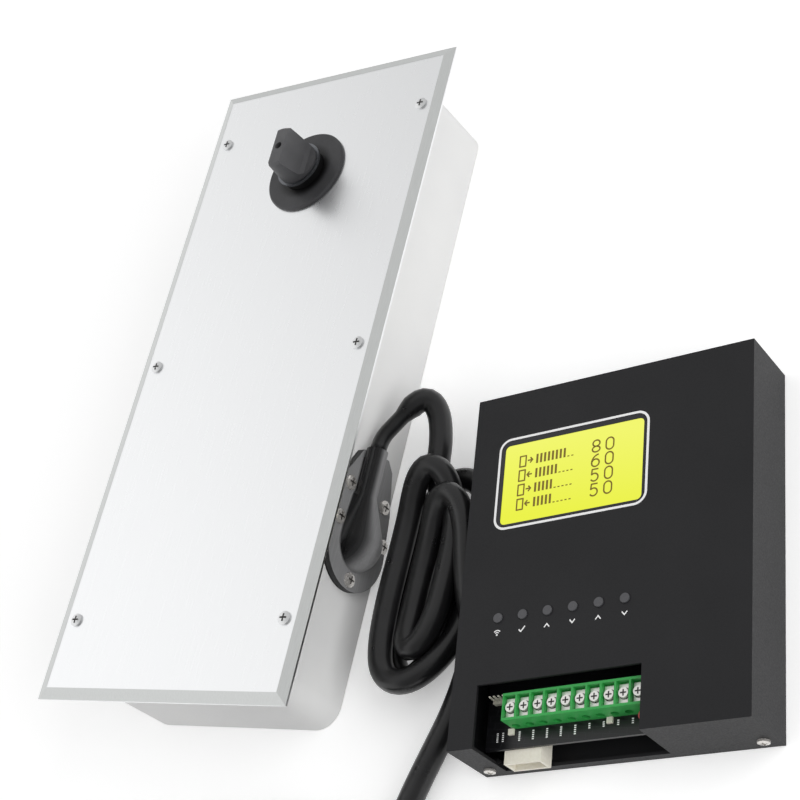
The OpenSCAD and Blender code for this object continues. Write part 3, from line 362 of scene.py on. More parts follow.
floor_data = bpy.data.meshes.new("studio_floor")
half = FLOOR_SIZE / 2
floor_data.from_pydata([(-half, -half, 0), (half, -half, 0), (half, half, 0), (-half, half, 0)],
                       [], [(0, 1, 2, 3)])
floor = bpy.data.objects.new("studio_floor", floor_data)
floor.location.z = -FLOOR_GAP
bpy.context.scene.collection.objects.link(floor)

paper = bpy.data.materials.new("white_studio_paper")
paper.use_nodes = True
tree = paper.node_tree
tree.nodes.clear()
rays = add(tree, "LightPath")
seen = add(tree, "Math", {0: rays.outputs["Is Camera Ray"], 1: rays.outputs["Is Glossy Ray"]},
           operation="MAXIMUM")
seen = add(tree, "Math", {0: seen.outputs[0], 1: rays.outputs["Is Transmission Ray"]},
           operation="MAXIMUM")
matt = add(tree, "BsdfDiffuse", {"Color": linear("#f4f4f4")})
spot = add(tree, "VectorMath", {0: add(tree, "TexCoord").outputs["Object"]}, operation="LENGTH")
away = add(tree, "MapRange", {"Value": spot.outputs["Value"], "From Min": LIFT_FROM,
                              "From Max": LIFT_TO, "To Min": FLOOR_LIFT, "To Max": FAR_LIFT})
lift = add(tree, "Emission", {"Color": (1, 1, 1, 1), "Strength": away.outputs[0]})
none = add(tree, "Emission", {"Color": (0, 0, 0, 1), "Strength": 0.0})
extra = add(tree, "MixShader", {0: seen.outputs[0], 1: none.outputs[0], 2: lift.outputs[0]})
both = add(tree, "AddShader", {0: matt.outputs[0], 1: extra.outputs[0]})
add(tree, "OutputMaterial", {"Surface": both.outputs[0]})
floor_data.materials.append(paper)

# %% [markdown]
# The room is a world colour. Matt surfaces take a mild, even light from it. Polished steel shows
# the room itself, so for glossy rays it is white at the near left and falls off to a light grey
# towards the far right, which gives the steel plate its slow change of tone. One corner of the
# room, up and to the right, is half as bright, so that round black parts that mirror it look black.

# %% Room
ROOM_LIGHT = 0.57
ROOM_NEAR, ROOM_FAR = 1.13, 0.67
BRIGHT_SIDE, FALL_FROM, FALL_TO = (-1.404, -0.469, 0), 0.42, 0.86
DARK_SIDE, DARK_LIGHT = Vector((0.60, -0.60, 0.53)).normalized(), 0.5
DARK_FROM, DARK_TO = 0.50, 0.85

world = bpy.data.worlds.new("white_room")
bpy.context.scene.world = world
world.use_nodes = True
tree = world.node_tree
tree.nodes.clear()
rays = add(tree, "LightPath")
way = add(tree, "TexCoord")
along = add(tree, "VectorMath", {0: way.outputs["Generated"], 1: BRIGHT_SIDE},
            operation="DOT_PRODUCT")
fall = add(tree, "MapRange", {"Value": along.outputs["Value"], "From Min": FALL_FROM,
                              "From Max": FALL_TO, "To Min": ROOM_FAR, "To Max": ROOM_NEAR})
toward = add(tree, "VectorMath", {0: way.outputs["Generated"], 1: DARK_SIDE},
             operation="DOT_PRODUCT")
shade = add(tree, "MapRange", {"Value": toward.outputs["Value"], "From Min": DARK_FROM,
                               "From Max": DARK_TO, "To Min": 1.0, "To Max": DARK_LIGHT})
shaded = add(tree, "Math", {0: fall.outputs[0], 1: shade.outputs[0]}, operation="MULTIPLY")
mirrored = add(tree, "Background", {"Color": (1, 1, 1, 1), "Strength": shaded.outputs[0]})
ambient = add(tree, "Background", {"Color": (1, 1, 1, 1), "Strength": ROOM_LIGHT})
page = add(tree, "Background", {"Color": (1, 1, 1, 1), "Strength": 1.0})
clear = add(tree, "Math", {0: rays.outputs["Is Camera Ray"], 1: rays.outputs["Is Transmission Ray"]},
            operation="MAXIMUM")
inside = add(tree, "MixShader", {0: rays.outputs["Is Glossy Ray"], 1: ambient.outputs[0],
                                 2: mirrored.outputs[0]})
everything = add(tree, "MixShader", {0: clear.outputs[0], 1: inside.outputs[0], 2: page.outputs[0]})
add(tree, "OutputWorld", {"Surface": everything.outputs[0]})

bpy.context.scene.view_settings.view_transform = "Standard"


# %% [markdown]
# Three square soft boxes stand round the set. The key lamp and the side lamp light the long side of
# the box, which faces right, and the fill lamp softens the shadows on the other side. None of them
# shows in the steel, where its square would look like a window.

# %% Soft boxes
def soft_box(name, aim, direction, distance, size, watts):
    """A square lamp that looks at aim from the given direction."""
    lamp = bpy.data.lights.new(name, "AREA")
    lamp.shape = "SQUARE"
    lamp.size = size
    lamp.energy = watts
    holder = bpy.data.objects.new(name, lamp)
    bpy.context.scene.collection.objects.link(holder)
    away = Vector(direction).normalized()
    holder.location = Vector(aim) + away * distance
    holder.rotation_euler = away.to_track_quat("Z", "Y").to_euler()
    holder.visible_glossy = False


SET_MIDDLE = (0.08, -0.16, 0.03)
soft_box("key_soft_box", SET_MIDDLE, (0.75, 0.22, 0.66), 2.0, 1.5, 9)
soft_box("side_soft_box", SET_MIDDLE, (0.93, -0.30, 0.45), 2.0, 1.0, 12)
soft_box("fill_soft_box", SET_MIDDLE, (-0.60, -0.10, 0.80), 2.2, 1.0, 3)

# %% [markdown]
# Every finish starts as one plain surface with a colour, a metallic value and a roughness. What
# makes it real is added to it: a grain that breaks up the gloss, and small bumps. The coordinates
# are those of the model, in metres, so a pattern's scale is one over its size in metres.

# %% A plain finish to start from
def surface(name, colour, metallic=0.0, roughness=0.5, **more):
    """A material with one Principled shader. Returns the material, its tree, shader and place."""
    material = bpy.data.materials.new(name)
    material.use_nodes = True
    tree = material.node_tree
    tree.nodes.clear()
    shader = add(tree, "BsdfPrincipled", {"Base Color": linear(colour), "Metallic": metallic,
                                          "Roughness": roughness, **more})
    add(tree, "OutputMaterial", {"Surface": shader.outputs[0]})
    place = add(tree, "TexCoord")
    return material, tree, shader, place.outputs["Object"]


def per(size_mm):
    """The scale of a pattern whose features are this large."""
    return 1 / (size_mm * MM)


def stretch(tree, place, scale):
    """Coordinates scaled by three numbers."""
    return add(tree, "Mapping", {"Vector": place, "Scale": scale}).outputs[0]


def grain(tree, place, size_mm, detail=4.0):
    """A cloudy pattern from 0 to 1 with features of this size."""
    noise = add(tree, "TexNoise", {"Vector": place, "Scale": per(size_mm), "Detail": detail})
    return noise.outputs["Fac"]


NOISE_LOW, NOISE_HIGH = 0.3, 0.7


def spread(tree, value, low, high):
    """The middle of a pattern, spread over low to high."""
    return add(tree, "MapRange", {"Value": value, "From Min": NOISE_LOW, "From Max": NOISE_HIGH,
                                  "To Min": low, "To Max": high}).outputs[0]


def tint(tree, value, first, second):
    """A colour between two, chosen by a pattern."""
    ramp = add(tree, "ValToRGB", {"Fac": value})
    ends = zip(ramp.color_ramp.elements, (NOISE_LOW, NOISE_HIGH), (first, second))
    for end, position, colour in ends:
        end.position, end.color = position, linear(colour)
    return ramp.outputs[0]


def bumps(tree, shader, height, depth_mm, strength=1.0):
    """Relief of the given depth."""
    bump = add(tree, "Bump", {"Height": height, "Distance": depth_mm * MM, "Strength": strength})
    tree.links.new(bump.outputs[0], shader.inputs["Normal"])


finish = {}


def keep(slot, material):
    """Files a material under the slot name that the model's solids ask for."""
    finish[slot] = material
    material["maker_slot"] = slot


# %% [markdown]
# **Powder coat on the floor box.** Dry paint powder is baked on the folded sheet. It flows out
# to a pale satin skin with a faint orange peel, whose cells are about a millimetre wide.

# %% Powder coat, white
material, tree, shader, place = surface("powder_coat_white", "#e4e4e3", 0.0, 0.42)
peel = grain(tree, place, 1.4, 2.0)
cloud = grain(tree, place, 60, 2.0)
tree.links.new(tint(tree, cloud, "#e1e1e1", "#e7e7e6"), shader.inputs["Base Color"])
tree.links.new(spread(tree, peel, 0.36, 0.48), shader.inputs["Roughness"])
bumps(tree, shader, peel, 0.02, 0.5)
keep("powder_white", material)

# %% [markdown]
# **Satin stainless steel.** The cover plate is rolled sheet with a fine satin face. Its colour is
# its reflection, so it needs a metallic surface and a middle roughness, with lines along the
# plate that are too fine to be seen one by one.

# %% Satin stainless plate
material, tree, shader, place = surface("satin_stainless_sheet", "#f3f4f5", 1.0, 0.30)
lines = grain(tree, stretch(tree, place, (1, 0.02, 1)), 0.35, 3.0)
tree.links.new(spread(tree, lines, 0.27, 0.33), shader.inputs["Roughness"])
bumps(tree, shader, lines, 0.002, 0.4)
keep("satin_stainless", material)

# %% [markdown]
# **Ground bevel.** The bevel round the plate's edge is ground by itself, which leaves it duller and
# streaked. It is less of a mirror than the face, so its metallic value is lower.

# %% Ground stainless bevel
material, tree, shader, place = surface("ground_stainless_edge", "#cfd1d0", 0.6, 0.45)
streaks = grain(tree, stretch(tree, place, (1, 0.05, 1)), 0.4, 3.0)
tree.links.new(tint(tree, streaks, "#cccecd", "#d3d5d4"), shader.inputs["Base Color"])
tree.links.new(spread(tree, streaks, 0.36, 0.44), shader.inputs["Roughness"])
bumps(tree, shader, streaks, 0.003, 0.4)
ground_edge = material


# %% [markdown]
# **Plain metals.** The screws, gears and bearings are all metals that differ in colour and in
# how they were finished: turned, ground, plated or cast. One cell lists them with their size of
# grain, and the loop makes them.

# %% Plain metals
PLATED_METALLIC = 0.65
METALS = (
    # slot, name, first colour, second colour, roughness from, to, grain size mm, relief mm
    ("nickel", "nickel_plated_steel", "#d9d5d0", "#e6e3df", 0.18, 0.30, 1.0, 0.004),
    ("zinc", "zinc_plated_steel", "#bfc3c8", "#d2d4d6", 0.25, 0.40, 1.5, 0.006),
    ("cast_alloy", "sand_grey_cast_aluminium", "#b4b6b8", "#c6c8c9", 0.45, 0.62, 1.2, 0.05),
    ("black_oxide", "black_oxide_steel", "#2b2b2e", "#37373a", 0.30, 0.45, 1.0, 0.01),
    ("gear_steel", "ground_gear_steel", "#a9abaf", "#bfc1c4", 0.22, 0.38, 0.8, 0.005),
    ("spring_steel", "oil_tempered_spring_wire", "#6a6c70", "#7d7f83", 0.28, 0.42, 1.0, 0.01),
    ("bearing_steel", "polished_bearing_steel", "#cfd1d4", "#dcdee0", 0.10, 0.18, 2.0, 0.002),
    ("gear_bronze", "sintered_bronze", "#b58a4e", "#c79c60", 0.35, 0.50, 0.6, 0.02),
    ("motor_can", "drawn_steel_can", "#a3a6aa", "#b3b6ba", 0.28, 0.40, 3.0, 0.005),
    ("spacer_brass", "turned_brass", "#c9a45c", "#d8b56e", 0.22, 0.34, 0.8, 0.004),
    ("display_frame", "tinned_steel_frame", "#6c6e72", "#7e8084", 0.30, 0.42, 2.0, 0.006),
)
for slot, name, first, second, smooth, rough, size, relief in METALS:
    metallic = PLATED_METALLIC if slot == "nickel" else 1.0
    material, tree, shader, place = surface(name, first, metallic, smooth)
    cloud = grain(tree, place, size)
    tree.links.new(tint(tree, cloud, first, second), shader.inputs["Base Color"])
    tree.links.new(spread(tree, cloud, smooth, rough), shader.inputs["Roughness"])
    bumps(tree, shader, cloud, relief, 0.5)
    keep(slot, material)

# %% [markdown]
# ** Phosphated steel.** The spindle and its dust cap are dark grey: a thin crystal coat that holds
# oil. It is half way between metal and stone, so it gets a low metallic value, and its fine
# crystals make it matt with a soft broad sheen. Its coat is lighter towards the top of the tang.
# Round the spindle's foot the dust cap is painted dark: a painted shadow of the collar.

# %% Phosphated steel
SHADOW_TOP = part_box("snap_ring")[0].z
SHADOW_FULL, SHADOW_END = 13.5 * MM, 19 * MM
LIGHTER_FROM, LIGHTER_TO = 0.070, 0.094
material, tree, shader, place = surface("phosphated_steel", "#38383a", 0.35, 0.42)
crystals = grain(tree, place, 0.5, 5.0)
cloud = grain(tree, place, 12, 2.0)
axes = add(tree, "SeparateXYZ", {0: place})
# The coat is lighter towards the top of the tang.
lighter_top = add(tree, "MapRange", {"Value": axes.outputs["Z"], "From Min": LIGHTER_FROM,
                              "From Max": LIGHTER_TO})
coat = add(tree, "Mix", {0: lighter_top.outputs[0], 6: tint(tree, cloud, "#39393b", "#414143"),
                         7: tint(tree, cloud, "#535355", "#5d5d5f")}, data_type="RGBA")
# Painted shadow: round the collar's foot the dust cap is painted near black, as the collar's shadow.
off_axis = add(tree, "VectorMath", {0: stretch(tree, place, (1, 1, 0))}, operation="LENGTH")
collar_shadow = add(tree, "MapRange", {"Value": off_axis.outputs["Value"], "From Min": SHADOW_FULL,
                              "From Max": SHADOW_END, "To Min": 1.0, "To Max": 0.0},
           interpolation_type="SMOOTHSTEP")
below = add(tree, "Math", {0: axes.outputs["Z"], 1: SHADOW_TOP}, operation="LESS_THAN")
collar_shadow = add(tree, "Math", {0: collar_shadow.outputs[0], 1: below.outputs[0]}, operation="MULTIPLY")
coat = add(tree, "Mix", {0: collar_shadow.outputs[0], 6: coat.outputs[2], 7: linear("#0b0b0c")},
           data_type="RGBA")
tree.links.new(coat.outputs[2], shader.inputs["Base Color"])
tree.links.new(spread(tree, crystals, 0.36, 0.54), shader.inputs["Roughness"])
bumps(tree, shader, crystals, 0.012, 0.6)
keep("phosphated_steel", material)

# %% [markdown]
# **Plastics and rubber.** Moulded parts copy the skin of their mould, either spark eroded, which
# gives a fine even grain, or polished. Their colour is in the mass, so it hardly varies.

# %% Plastics and rubber
PLASTICS = (
    # slot, name, first colour, second colour, roughness from, to, grain size mm, relief mm
    ("nitrile", "black_nitrile_rubber", "#161617", "#1c1c1d", 0.50, 0.62, 1.0, 0.02),
    ("cable_pvc", "satin_black_pvc_sleeve", "#141415", "#1b1b1c", 0.27, 0.33, 9.0, 0.01),
    ("acetal", "white_acetal", "#dcdcd6", "#e4e4df", 0.30, 0.40, 2.0, 0.01),
    ("tie_nylon", "black_hook_and_loop_tape", "#151515", "#262626", 0.75, 0.95, 0.4, 0.15),
    ("connector_nylon", "natural_nylon", "#e6e1d2", "#eeeadd", 0.30, 0.42, 1.5, 0.01),
    ("terminal_green", "green_moulded_nylon", "#2e9a46", "#37a550", 0.32, 0.44, 0.8, 0.01),
    ("button_plastic", "dark_grey_button_plastic", "#47474a", "#505053", 0.35, 0.46, 0.6, 0.01),
)
DULL, DULL_SPECULAR = ("nitrile", "tie_nylon"), 0.30
for slot, name, first, second, smooth, rough, size, relief in PLASTICS:
    material, tree, shader, place = surface(name, first, 0.0, smooth)
    cloud = grain(tree, place, size)
    tree.links.new(tint(tree, cloud, first, second), shader.inputs["Base Color"])
    tree.links.new(spread(tree, cloud, smooth, rough), shader.inputs["Roughness"])
    bumps(tree, shader, cloud, relief, 0.5)
    if slot in DULL:
        shader.inputs["Specular IOR Level"].default_value = DULL_SPECULAR
    keep(slot, material)

# %% [markdown]
# **Black powder coat on the controller.** The same process as on the floor box, with a finer
# powder: a charcoal skin with a tight grain and a low gloss.

# %% Powder coat, charcoal
CASE_SPECULAR = 0.28
material, tree, shader, place = surface("powder_coat_charcoal", "#1c1c1e", 0.0, 0.5)
shader.inputs["Specular IOR Level"].default_value = CASE_SPECULAR
peel = grain(tree, place, 0.8, 3.0)
cloud = grain(tree, place, 40, 2.0)
tree.links.new(tint(tree, cloud, "#1a1a1c", "#1e1e20"), shader.inputs["Base Color"])
tree.links.new(spread(tree, peel, 0.44, 0.58), shader.inputs["Roughness"])
bumps(tree, shader, peel, 0.015, 0.5)
keep("black_case", material)


# %% [markdown]
# **Circuit boards.** A board is glass cloth under a thin coat of solder mask. The copper tracks
# below lift the mask a little, which shows as a slightly lighter grid. Brick shaped cells stand
# for the tracks.

# %% Circuit boards
for slot, name, mask, track in (("black_board", "black_solder_mask", "#131315", "#1d1d20"),
                                ("green_board", "green_solder_mask", "#0f4a25", "#17602f")):
    material, tree, shader, place = surface(name, mask, 0.0, 0.28)
    tracks = add(tree, "TexBrick", {"Vector": place, "Color1": linear(mask), "Color2": linear(mask),
                                    "Mortar": linear(track), "Scale": per(6), "Mortar Size": 0.03,
                                    "Brick Width": 1.4, "Row Height": 0.5}, offset=0.37)
    tree.links.new(tracks.outputs["Color"], shader.inputs["Base Color"])
    bumps(tree, shader, tracks.outputs["Fac"], 0.03, 0.5)
    keep(slot, material)

# %% [markdown]
# ** Lit display.** A character display has a yellow-green lamp behind its glass. It gives light of
# its own, a little stronger towards its top, under a smooth cover.

# %% Lit display
LAMP_LOW, LAMP_HIGH = -0.204, -0.162
LAMP_STRENGTH = 0.92
material, tree, shader, place = surface("lit_display_glass", "#23240a", 0.0, 0.10)
axes = add(tree, "SeparateXYZ", {0: place})
up = add(tree, "MapRange", {"Value": axes.outputs["Y"], "From Min": LAMP_LOW, "From Max": LAMP_HIGH,
                            "To Min": 0.3, "To Max": 0.7})
cloud = add(tree, "Math", {0: up.outputs[0], 1: grain(tree, place, 25, 1.0), 2: -0.02},
            operation="MULTIPLY_ADD")
glow = add(tree, "Mix", {0: 0.15, 6: tint(tree, up.outputs[0], "#eef534", "#f7fb6e"),
                         7: tint(tree, cloud.outputs[0], "#eef534", "#f9fd80")}, data_type="RGBA")
tree.links.new(glow.outputs[2], shader.inputs["Emission Color"])
shader.inputs["Emission Strength"].default_value = LAMP_STRENGTH
keep("display_glass", material)

# %% [markdown]
# ** Gland cover.** The cover is a small moulding in dark grey nylon. Its flat rim has a drawn,
# matt face, and its edge is painted dark grey as painted shade. The egg-shaped back is smoother.
# Where it turns up towards the cover plate it is painted nearly black, a painted shade and painted
# reflection of the plate's dark underside, with a lighter painted highlight streak near its top;
# where it turns down to the floor it is as light as the rim. The change follows the turn round
# the hump, whose middle line and radius run evenly from the egg to the spout.

# %% Rim colour, painted shade and painted highlight on one moulding
EDGE_X, FOOT_X, BACK_X = 0.0662, 0.0664, 0.0672
EGG_Y, NOSE_Y = -209.5 * MM, -189 * MM
EGG_Z, SPOUT_Z = 23.4 * MM, 31.2 * MM
EGG_R, SPOUT_R = 15.4 * MM, 5.6 * MM
material, tree, shader, place = surface("dark_grey_moulded_nylon", "#868687", 0.0, 0.45)
axes = add(tree, "SeparateXYZ", {0: place})
middle = add(tree, "MapRange", {"Value": axes.outputs["Y"], "From Min": EGG_Y, "From Max": NOSE_Y,
                                "To Min": EGG_Z, "To Max": SPOUT_Z})
radius = add(tree, "MapRange", {"Value": axes.outputs["Y"], "From Min": EGG_Y, "From Max": NOSE_Y,
                                "To Min": EGG_R, "To Max": SPOUT_R})
above = add(tree, "Math", {0: axes.outputs["Z"], 1: middle.outputs[0]}, operation="SUBTRACT")
turned = add(tree, "Math", {0: above.outputs[0], 1: radius.outputs[0]}, operation="DIVIDE")
upper = add(tree, "MapRange", {"Value": turned.outputs[0], "From Min": 0.0, "From Max": 0.55},
            interpolation_type="SMOOTHSTEP")
raised = add(tree, "MapRange", {"Value": axes.outputs["X"], "From Min": FOOT_X, "From Max": BACK_X})
upward = add(tree, "Math", {0: upper.outputs[0], 1: raised.outputs[0]}, operation="MULTIPLY")
# Painted shade and painted reflection: the turned-up back goes from dark grey to nearly black, with a
# lighter painted highlight streak near its top.
painted_shade_ramp = add(tree, "ValToRGB", {"Fac": turned.outputs[0]})
ends = zip(painted_shade_ramp.color_ramp.elements, (0.40, 0.99), ("#2a2a2b", "#1c1c1d"))
for end, turn, shade in ends:
    end.position, end.color = turn, linear(shade)
for turn, shade in ((0.74, "#0a0a0b"), (0.88, "#141415"), (0.94, "#3a3a3b")):
    painted_shade_ramp.color_ramp.elements.new(turn).color = linear(shade)
drawn = grain(tree, stretch(tree, place, (1, 0.06, 1)), 0.8, 3.0)
shaded_back = add(tree, "Mix", {0: upward.outputs[0], 6: tint(tree, drawn, "#808081", "#8c8c8d"),
                          7: painted_shade_ramp.outputs[0]}, data_type="RGBA")
# Painted shade: the rim's edge, below EDGE_X, is painted dark grey.
face = add(tree, "Math", {0: axes.outputs["X"], 1: EDGE_X}, operation="GREATER_THAN")
whole = add(tree, "Mix", {0: face.outputs[0], 6: linear("#2b2b2c"), 7: shaded_back.outputs[2]},
            data_type="RGBA")
gloss = add(tree, "Mix", {0: upward.outputs[0], 2: spread(tree, drawn, 0.42, 0.52), 3: 0.27})
tree.links.new(whole.outputs[2], shader.inputs["Base Color"])
tree.links.new(gloss.outputs[0], shader.inputs["Roughness"])
bumps(tree, shader, drawn, 0.004, 0.4)
shader.inputs["Specular IOR Level"].default_value = DULL_SPECULAR
keep("gland_nylon", material)

# %% [markdown]
# **Tinned clamp plates.** The plates in the terminals are dipped in tin, which is whiter and
# softer in gloss than nickel.

# %% Bright tin
material, tree, shader, place = surface("bright_dipped_tin", "#f1f0ec", 0.75, 0.38)
cloud = grain(tree, place, 1.2)
tree.links.new(tint(tree, cloud, "#ecebe6", "#f6f5f2"), shader.inputs["Base Color"])
tree.links.new(spread(tree, cloud, 0.32, 0.46), shader.inputs["Roughness"])
bumps(tree, shader, cloud, 0.01, 0.5)
material["maker_slot"] = "nickel"
finish["terminal_screws"] = material

# %% [markdown]
# **Stainless screws.** The screws in the cover plate are of the plate's own steel.

# %% Stainless screws
material, tree, shader, place = surface("stainless_screw_steel", "#dedfdf", 0.9, 0.34)
cloud = grain(tree, place, 1.0)
tree.links.new(tint(tree, cloud, "#d9dadb", "#e3e4e4"), shader.inputs["Base Color"])
tree.links.new(spread(tree, cloud, 0.30, 0.40), shader.inputs["Roughness"])
bumps(tree, shader, cloud, 0.004, 0.5)
material["maker_slot"] = "nickel"
finish["cover_screws"] = material

# %% [markdown]
# **Handing the finishes out.** Every solid comes with the name of its material in the engineering
# model. A finish kept under the solid's own name goes first, and otherwise the one of that slot.

# %% Give every solid its finish
for name, solid in nodes.items():
    slot = solid.material_slots[0].material.name
    solid.material_slots[0].material = finish.get(name, finish[slot])
cable.data.materials.append(finish["cable_pvc"])
tie.data.materials.append(finish["tie_nylon"])
print("finishes:", len(finish))

# %% [markdown]
# ## Flat shapes and thin skins
# Print, painted shade in a screw's recess and other marks are modelled as very thin shapes that stand
# a few hundredths of a millimetre proud, so they stay sharp at any distance.
# its own: the plate's is that of the model, the gland's stands on the side of the box, and the
# controller's is turned with it.

# %% Frames and shapes
INK = 0.04
LEVELS = 5
OVERLAP = 0.3
plate_frame = Matrix.Identity(4)
gland_frame = Matrix(((0, 0, 1, 0), (1, 0, 0, 0), (0, 1, 0, 0), (0, 0, 0, 1)))
CONTROLLER_AT = (215, -220)
CONTROLLER_TURN = 8
controller_frame = (Matrix.Translation((CONTROLLER_AT[0] * MM, CONTROLLER_AT[1] * MM, 0))
                    @ Matrix.Rotation(math.radians(CONTROLLER_TURN), 4, "Z"))


def box_shape(x0, y0, x1, y1):
    """A rectangle between two corners."""
    return [(x0, y0), (x1, y0), (x1, y1), (x0, y1)]


def bar_shape(a, b, width):
    """A straight stroke from a to b."""
    a, b = Vector(a), Vector(b)
    side = (b - a).normalized().orthogonal() * width / 2
    return [tuple(a + side), tuple(a - side), tuple(b - side), tuple(b + side)]


def stroke_shapes(line, width):
    """A line of several points as strokes that run a little into each other."""
    shapes = []
    for a, b in zip(line, line[1:]):
        a, b = Vector(a), Vector(b)
        over = (b - a).normalized() * width * OVERLAP
        shapes.append(bar_shape(a - over, b + over, width))
    return shapes


def cross_shape(x, y, reach, width):
    """The outline of a cross with arms along the axes."""
    half, points = width / 2, []
    for turn in range(4):
        c, s = (1, 0, -1, 0)[turn], (0, 1, 0, -1)[turn]
        points += [(x + c * a - s * b, y + s * a + c * b)
                   for a, b in ((reach, -half), (reach, half), (half, half))]
    return points


def rounded_shape(x0, y0, x1, y1, radius, steps=8):
    """The outline of a rectangle with round corners."""
    points = []
    for cx, cy, start in ((x1 - radius, y1 - radius, 0), (x0 + radius, y1 - radius, 90),
                          (x0 + radius, y0 + radius, 180), (x1 - radius, y0 + radius, 270)):
        for k in range(steps + 1):
            a = math.radians(start + 90 * k / steps)
            points.append((cx + radius * math.cos(a), cy + radius * math.sin(a)))
    return points


def placed(name, mesh, material, frame):
    """Puts a mesh made in a frame of its own into the set."""
    piece = finished(name, mesh, smooth=False)
    piece.data.transform(frame)
    out = frame.to_3x3() @ Vector((0, 0, 1))
    if sum(p.normal.dot(out) * p.area for p in piece.data.polygons) < 0:
        piece.data.flip_normals()
    piece.data.materials.append(material)
    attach(piece, "root")


def printed(name, shapes, z, material, frame=controller_frame):
    """Flat shapes at a height in a frame, as one piece. Neighbours differ a little in level."""
    mesh = bmesh.new()
    for k, shape in enumerate(shapes):
        level = z + k % LEVELS * INK / 10
        mesh.faces.new([mesh.verts.new((x * MM, y * MM, level * MM)) for x, y in shape])
    placed(name, mesh, material, frame)


def frame_ring(name, outer, inner, z, material):
    """The band between two outlines that have as many points as each other."""
    mesh = bmesh.new()
    a = [mesh.verts.new((x * MM, y * MM, z * MM)) for x, y in outer]
    b = [mesh.verts.new((x * MM, y * MM, z * MM)) for x, y in inner]
    for k in range(len(a)):
        n = (k + 1) % len(a)
        mesh.faces.new((a[k], a[n], b[n], b[k]))
    placed(name, mesh, material, controller_frame)


def ring_piece(name, x, y, z, outer, inner, height, material, sides=32):
    """A flat round ring that stands on z."""
    mesh = bmesh.new()
    rims = []
    for radius, level in ((inner, 0), (outer, 0), (outer, height), (inner, height)):
        rims.append([mesh.verts.new(((x + radius * math.cos(2 * math.pi * k / sides)) * MM,
                                     (y + radius * math.sin(2 * math.pi * k / sides)) * MM,
                                     (z + level) * MM)) for k in range(sides)])
    for a, b in zip(rims, rims[1:] + rims[:1]):
        for k in range(sides):
            n = (k + 1) % sides
            mesh.faces.new((a[k], a[n], b[n], b[k]))
    placed(name, mesh, material, controller_frame)


# %% [markdown]
# **The plate's bevel.** The top of the plate is satin, but its bevel is ground by itself, so it is
# duller. Two finishes can't share one solid, so the bevel gets a skin of four mitred strips that
# lies a few hundredths of a millimetre above it.

# %% Bevel skin
BEVEL_W, BEVEL_FOOT = 5.8, 1.2
plate_low, plate_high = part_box("cover_plate")
skin = bmesh.new()
outer = [skin.verts.new((x, y, plate_low.z + (BEVEL_FOOT + INK) * MM)) for x, y in
         box_shape(plate_low.x, plate_low.y, plate_high.x, plate_high.y)]
inset = BEVEL_W * MM
inner = [skin.verts.new((x, y, plate_high.z + INK * MM)) for x, y in
         box_shape(plate_low.x + inset, plate_low.y + inset,
                   plate_high.x - inset, plate_high.y - inset)]
for k in range(4):
    n = (k + 1) % 4
    skin.faces.new((outer[k], outer[n], inner[n], inner[k]))
placed("plate_bevel", skin, ground_edge, plate_frame)

# %% [markdown]
# ** Screw recesses.** The cross in a screw's head is painted nearly black, as painted shade in the recess.

# %% Screw recesses
material, tree, shader, place = surface("painted_recess_shade", "#1d1a18", 0.0, 0.55)
cloud = grain(tree, place, 0.5)
tree.links.new(tint(tree, cloud, "#171514", "#26221f"), shader.inputs["Base Color"])
recess_shade = material

COVER_SCREW_X, COVER_SCREW_Y = (-69.7, 69.7), (-267.6, -117.6, 32.4)
heads = [cross_shape(x, y, 1.95, 0.8) for x in COVER_SCREW_X for y in COVER_SCREW_Y]
head_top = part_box("cover_screws")[1].z / MM
printed("cover_screw_recesses", heads, head_top + INK, recess_shade, plate_frame)

GLAND_SCREWS = ((-229.5, 23), (-203, 42), (-203, 4), (-183.6, 40.2), (-183.6, 10))
heads = [cross_shape(y, z, 2.1, 0.7) for y, z in GLAND_SCREWS]
head_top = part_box("gland_screws")[1].x / MM
printed("gland_screw_recesses", heads, head_top + INK, recess_shade, gland_frame)

# %% [markdown]
# ## The controller's face
# The controller lies on its back, turned a little. In its own frame, X runs to its right, Y to
# its top, and Z out of its face, from the middle of its back.

# %% Levels in the controller's frame
FACE_Z, BOARD_Z = 35.0, 19.6

# %% [markdown]
# Screen printing ink is matt and opaque. White is used for the line round the display and for the
# symbols. The display's own characters are dark brown segments in the liquid crystal.

# %% Inks
material, tree, shader, place = surface("white_screen_print_ink", "#f4f4f4", 0.0, 0.55)
tree.links.new(spread(tree, grain(tree, place, 0.6), 0.48, 0.62), shader.inputs["Roughness"])
white_ink = material
material, tree, shader, place = surface("black_gloss_bezel_print", "#1b1a20", 0.0, 0.16)
tree.links.new(spread(tree, grain(tree, place, 3), 0.12, 0.2), shader.inputs["Roughness"])
bezel_ink = material
material, tree, shader, place = surface("brown_liquid_crystal", "#7a6210", 0.0, 0.3)
tree.links.new(tint(tree, grain(tree, place, 4), "#75600c", "#806812"), shader.inputs["Base Color"])
crystal_ink = material

# %% [markdown]
# A rounded white line runs round the display, with the black bezel of the display between them.

# %% Line round the display
WINDOW = (-54.8, 18.8, 18.8, 61.0)
LINE = (-58.3, 16.1, 21.6, 65.0)
LINE_W, LINE_GAP = 1.2, 0.5
LINE_CORNER, BEZEL_CORNER, WINDOW_CORNER = 6.4, 4.9, 2.5


def inner_line(distance, radius):
    """The outline that runs inside the display's line at a distance."""
    return rounded_shape(LINE[0] + distance, LINE[1] + distance, LINE[2] - distance,
                         LINE[3] - distance, radius)


frame_ring("display_line", inner_line(0, LINE_CORNER), inner_line(LINE_W, LINE_CORNER - LINE_W),
           FACE_Z + INK, white_ink)
frame_ring("display_bezel", inner_line(LINE_W + LINE_GAP, BEZEL_CORNER),
           rounded_shape(*WINDOW, WINDOW_CORNER), FACE_Z + INK / 2, bezel_ink)
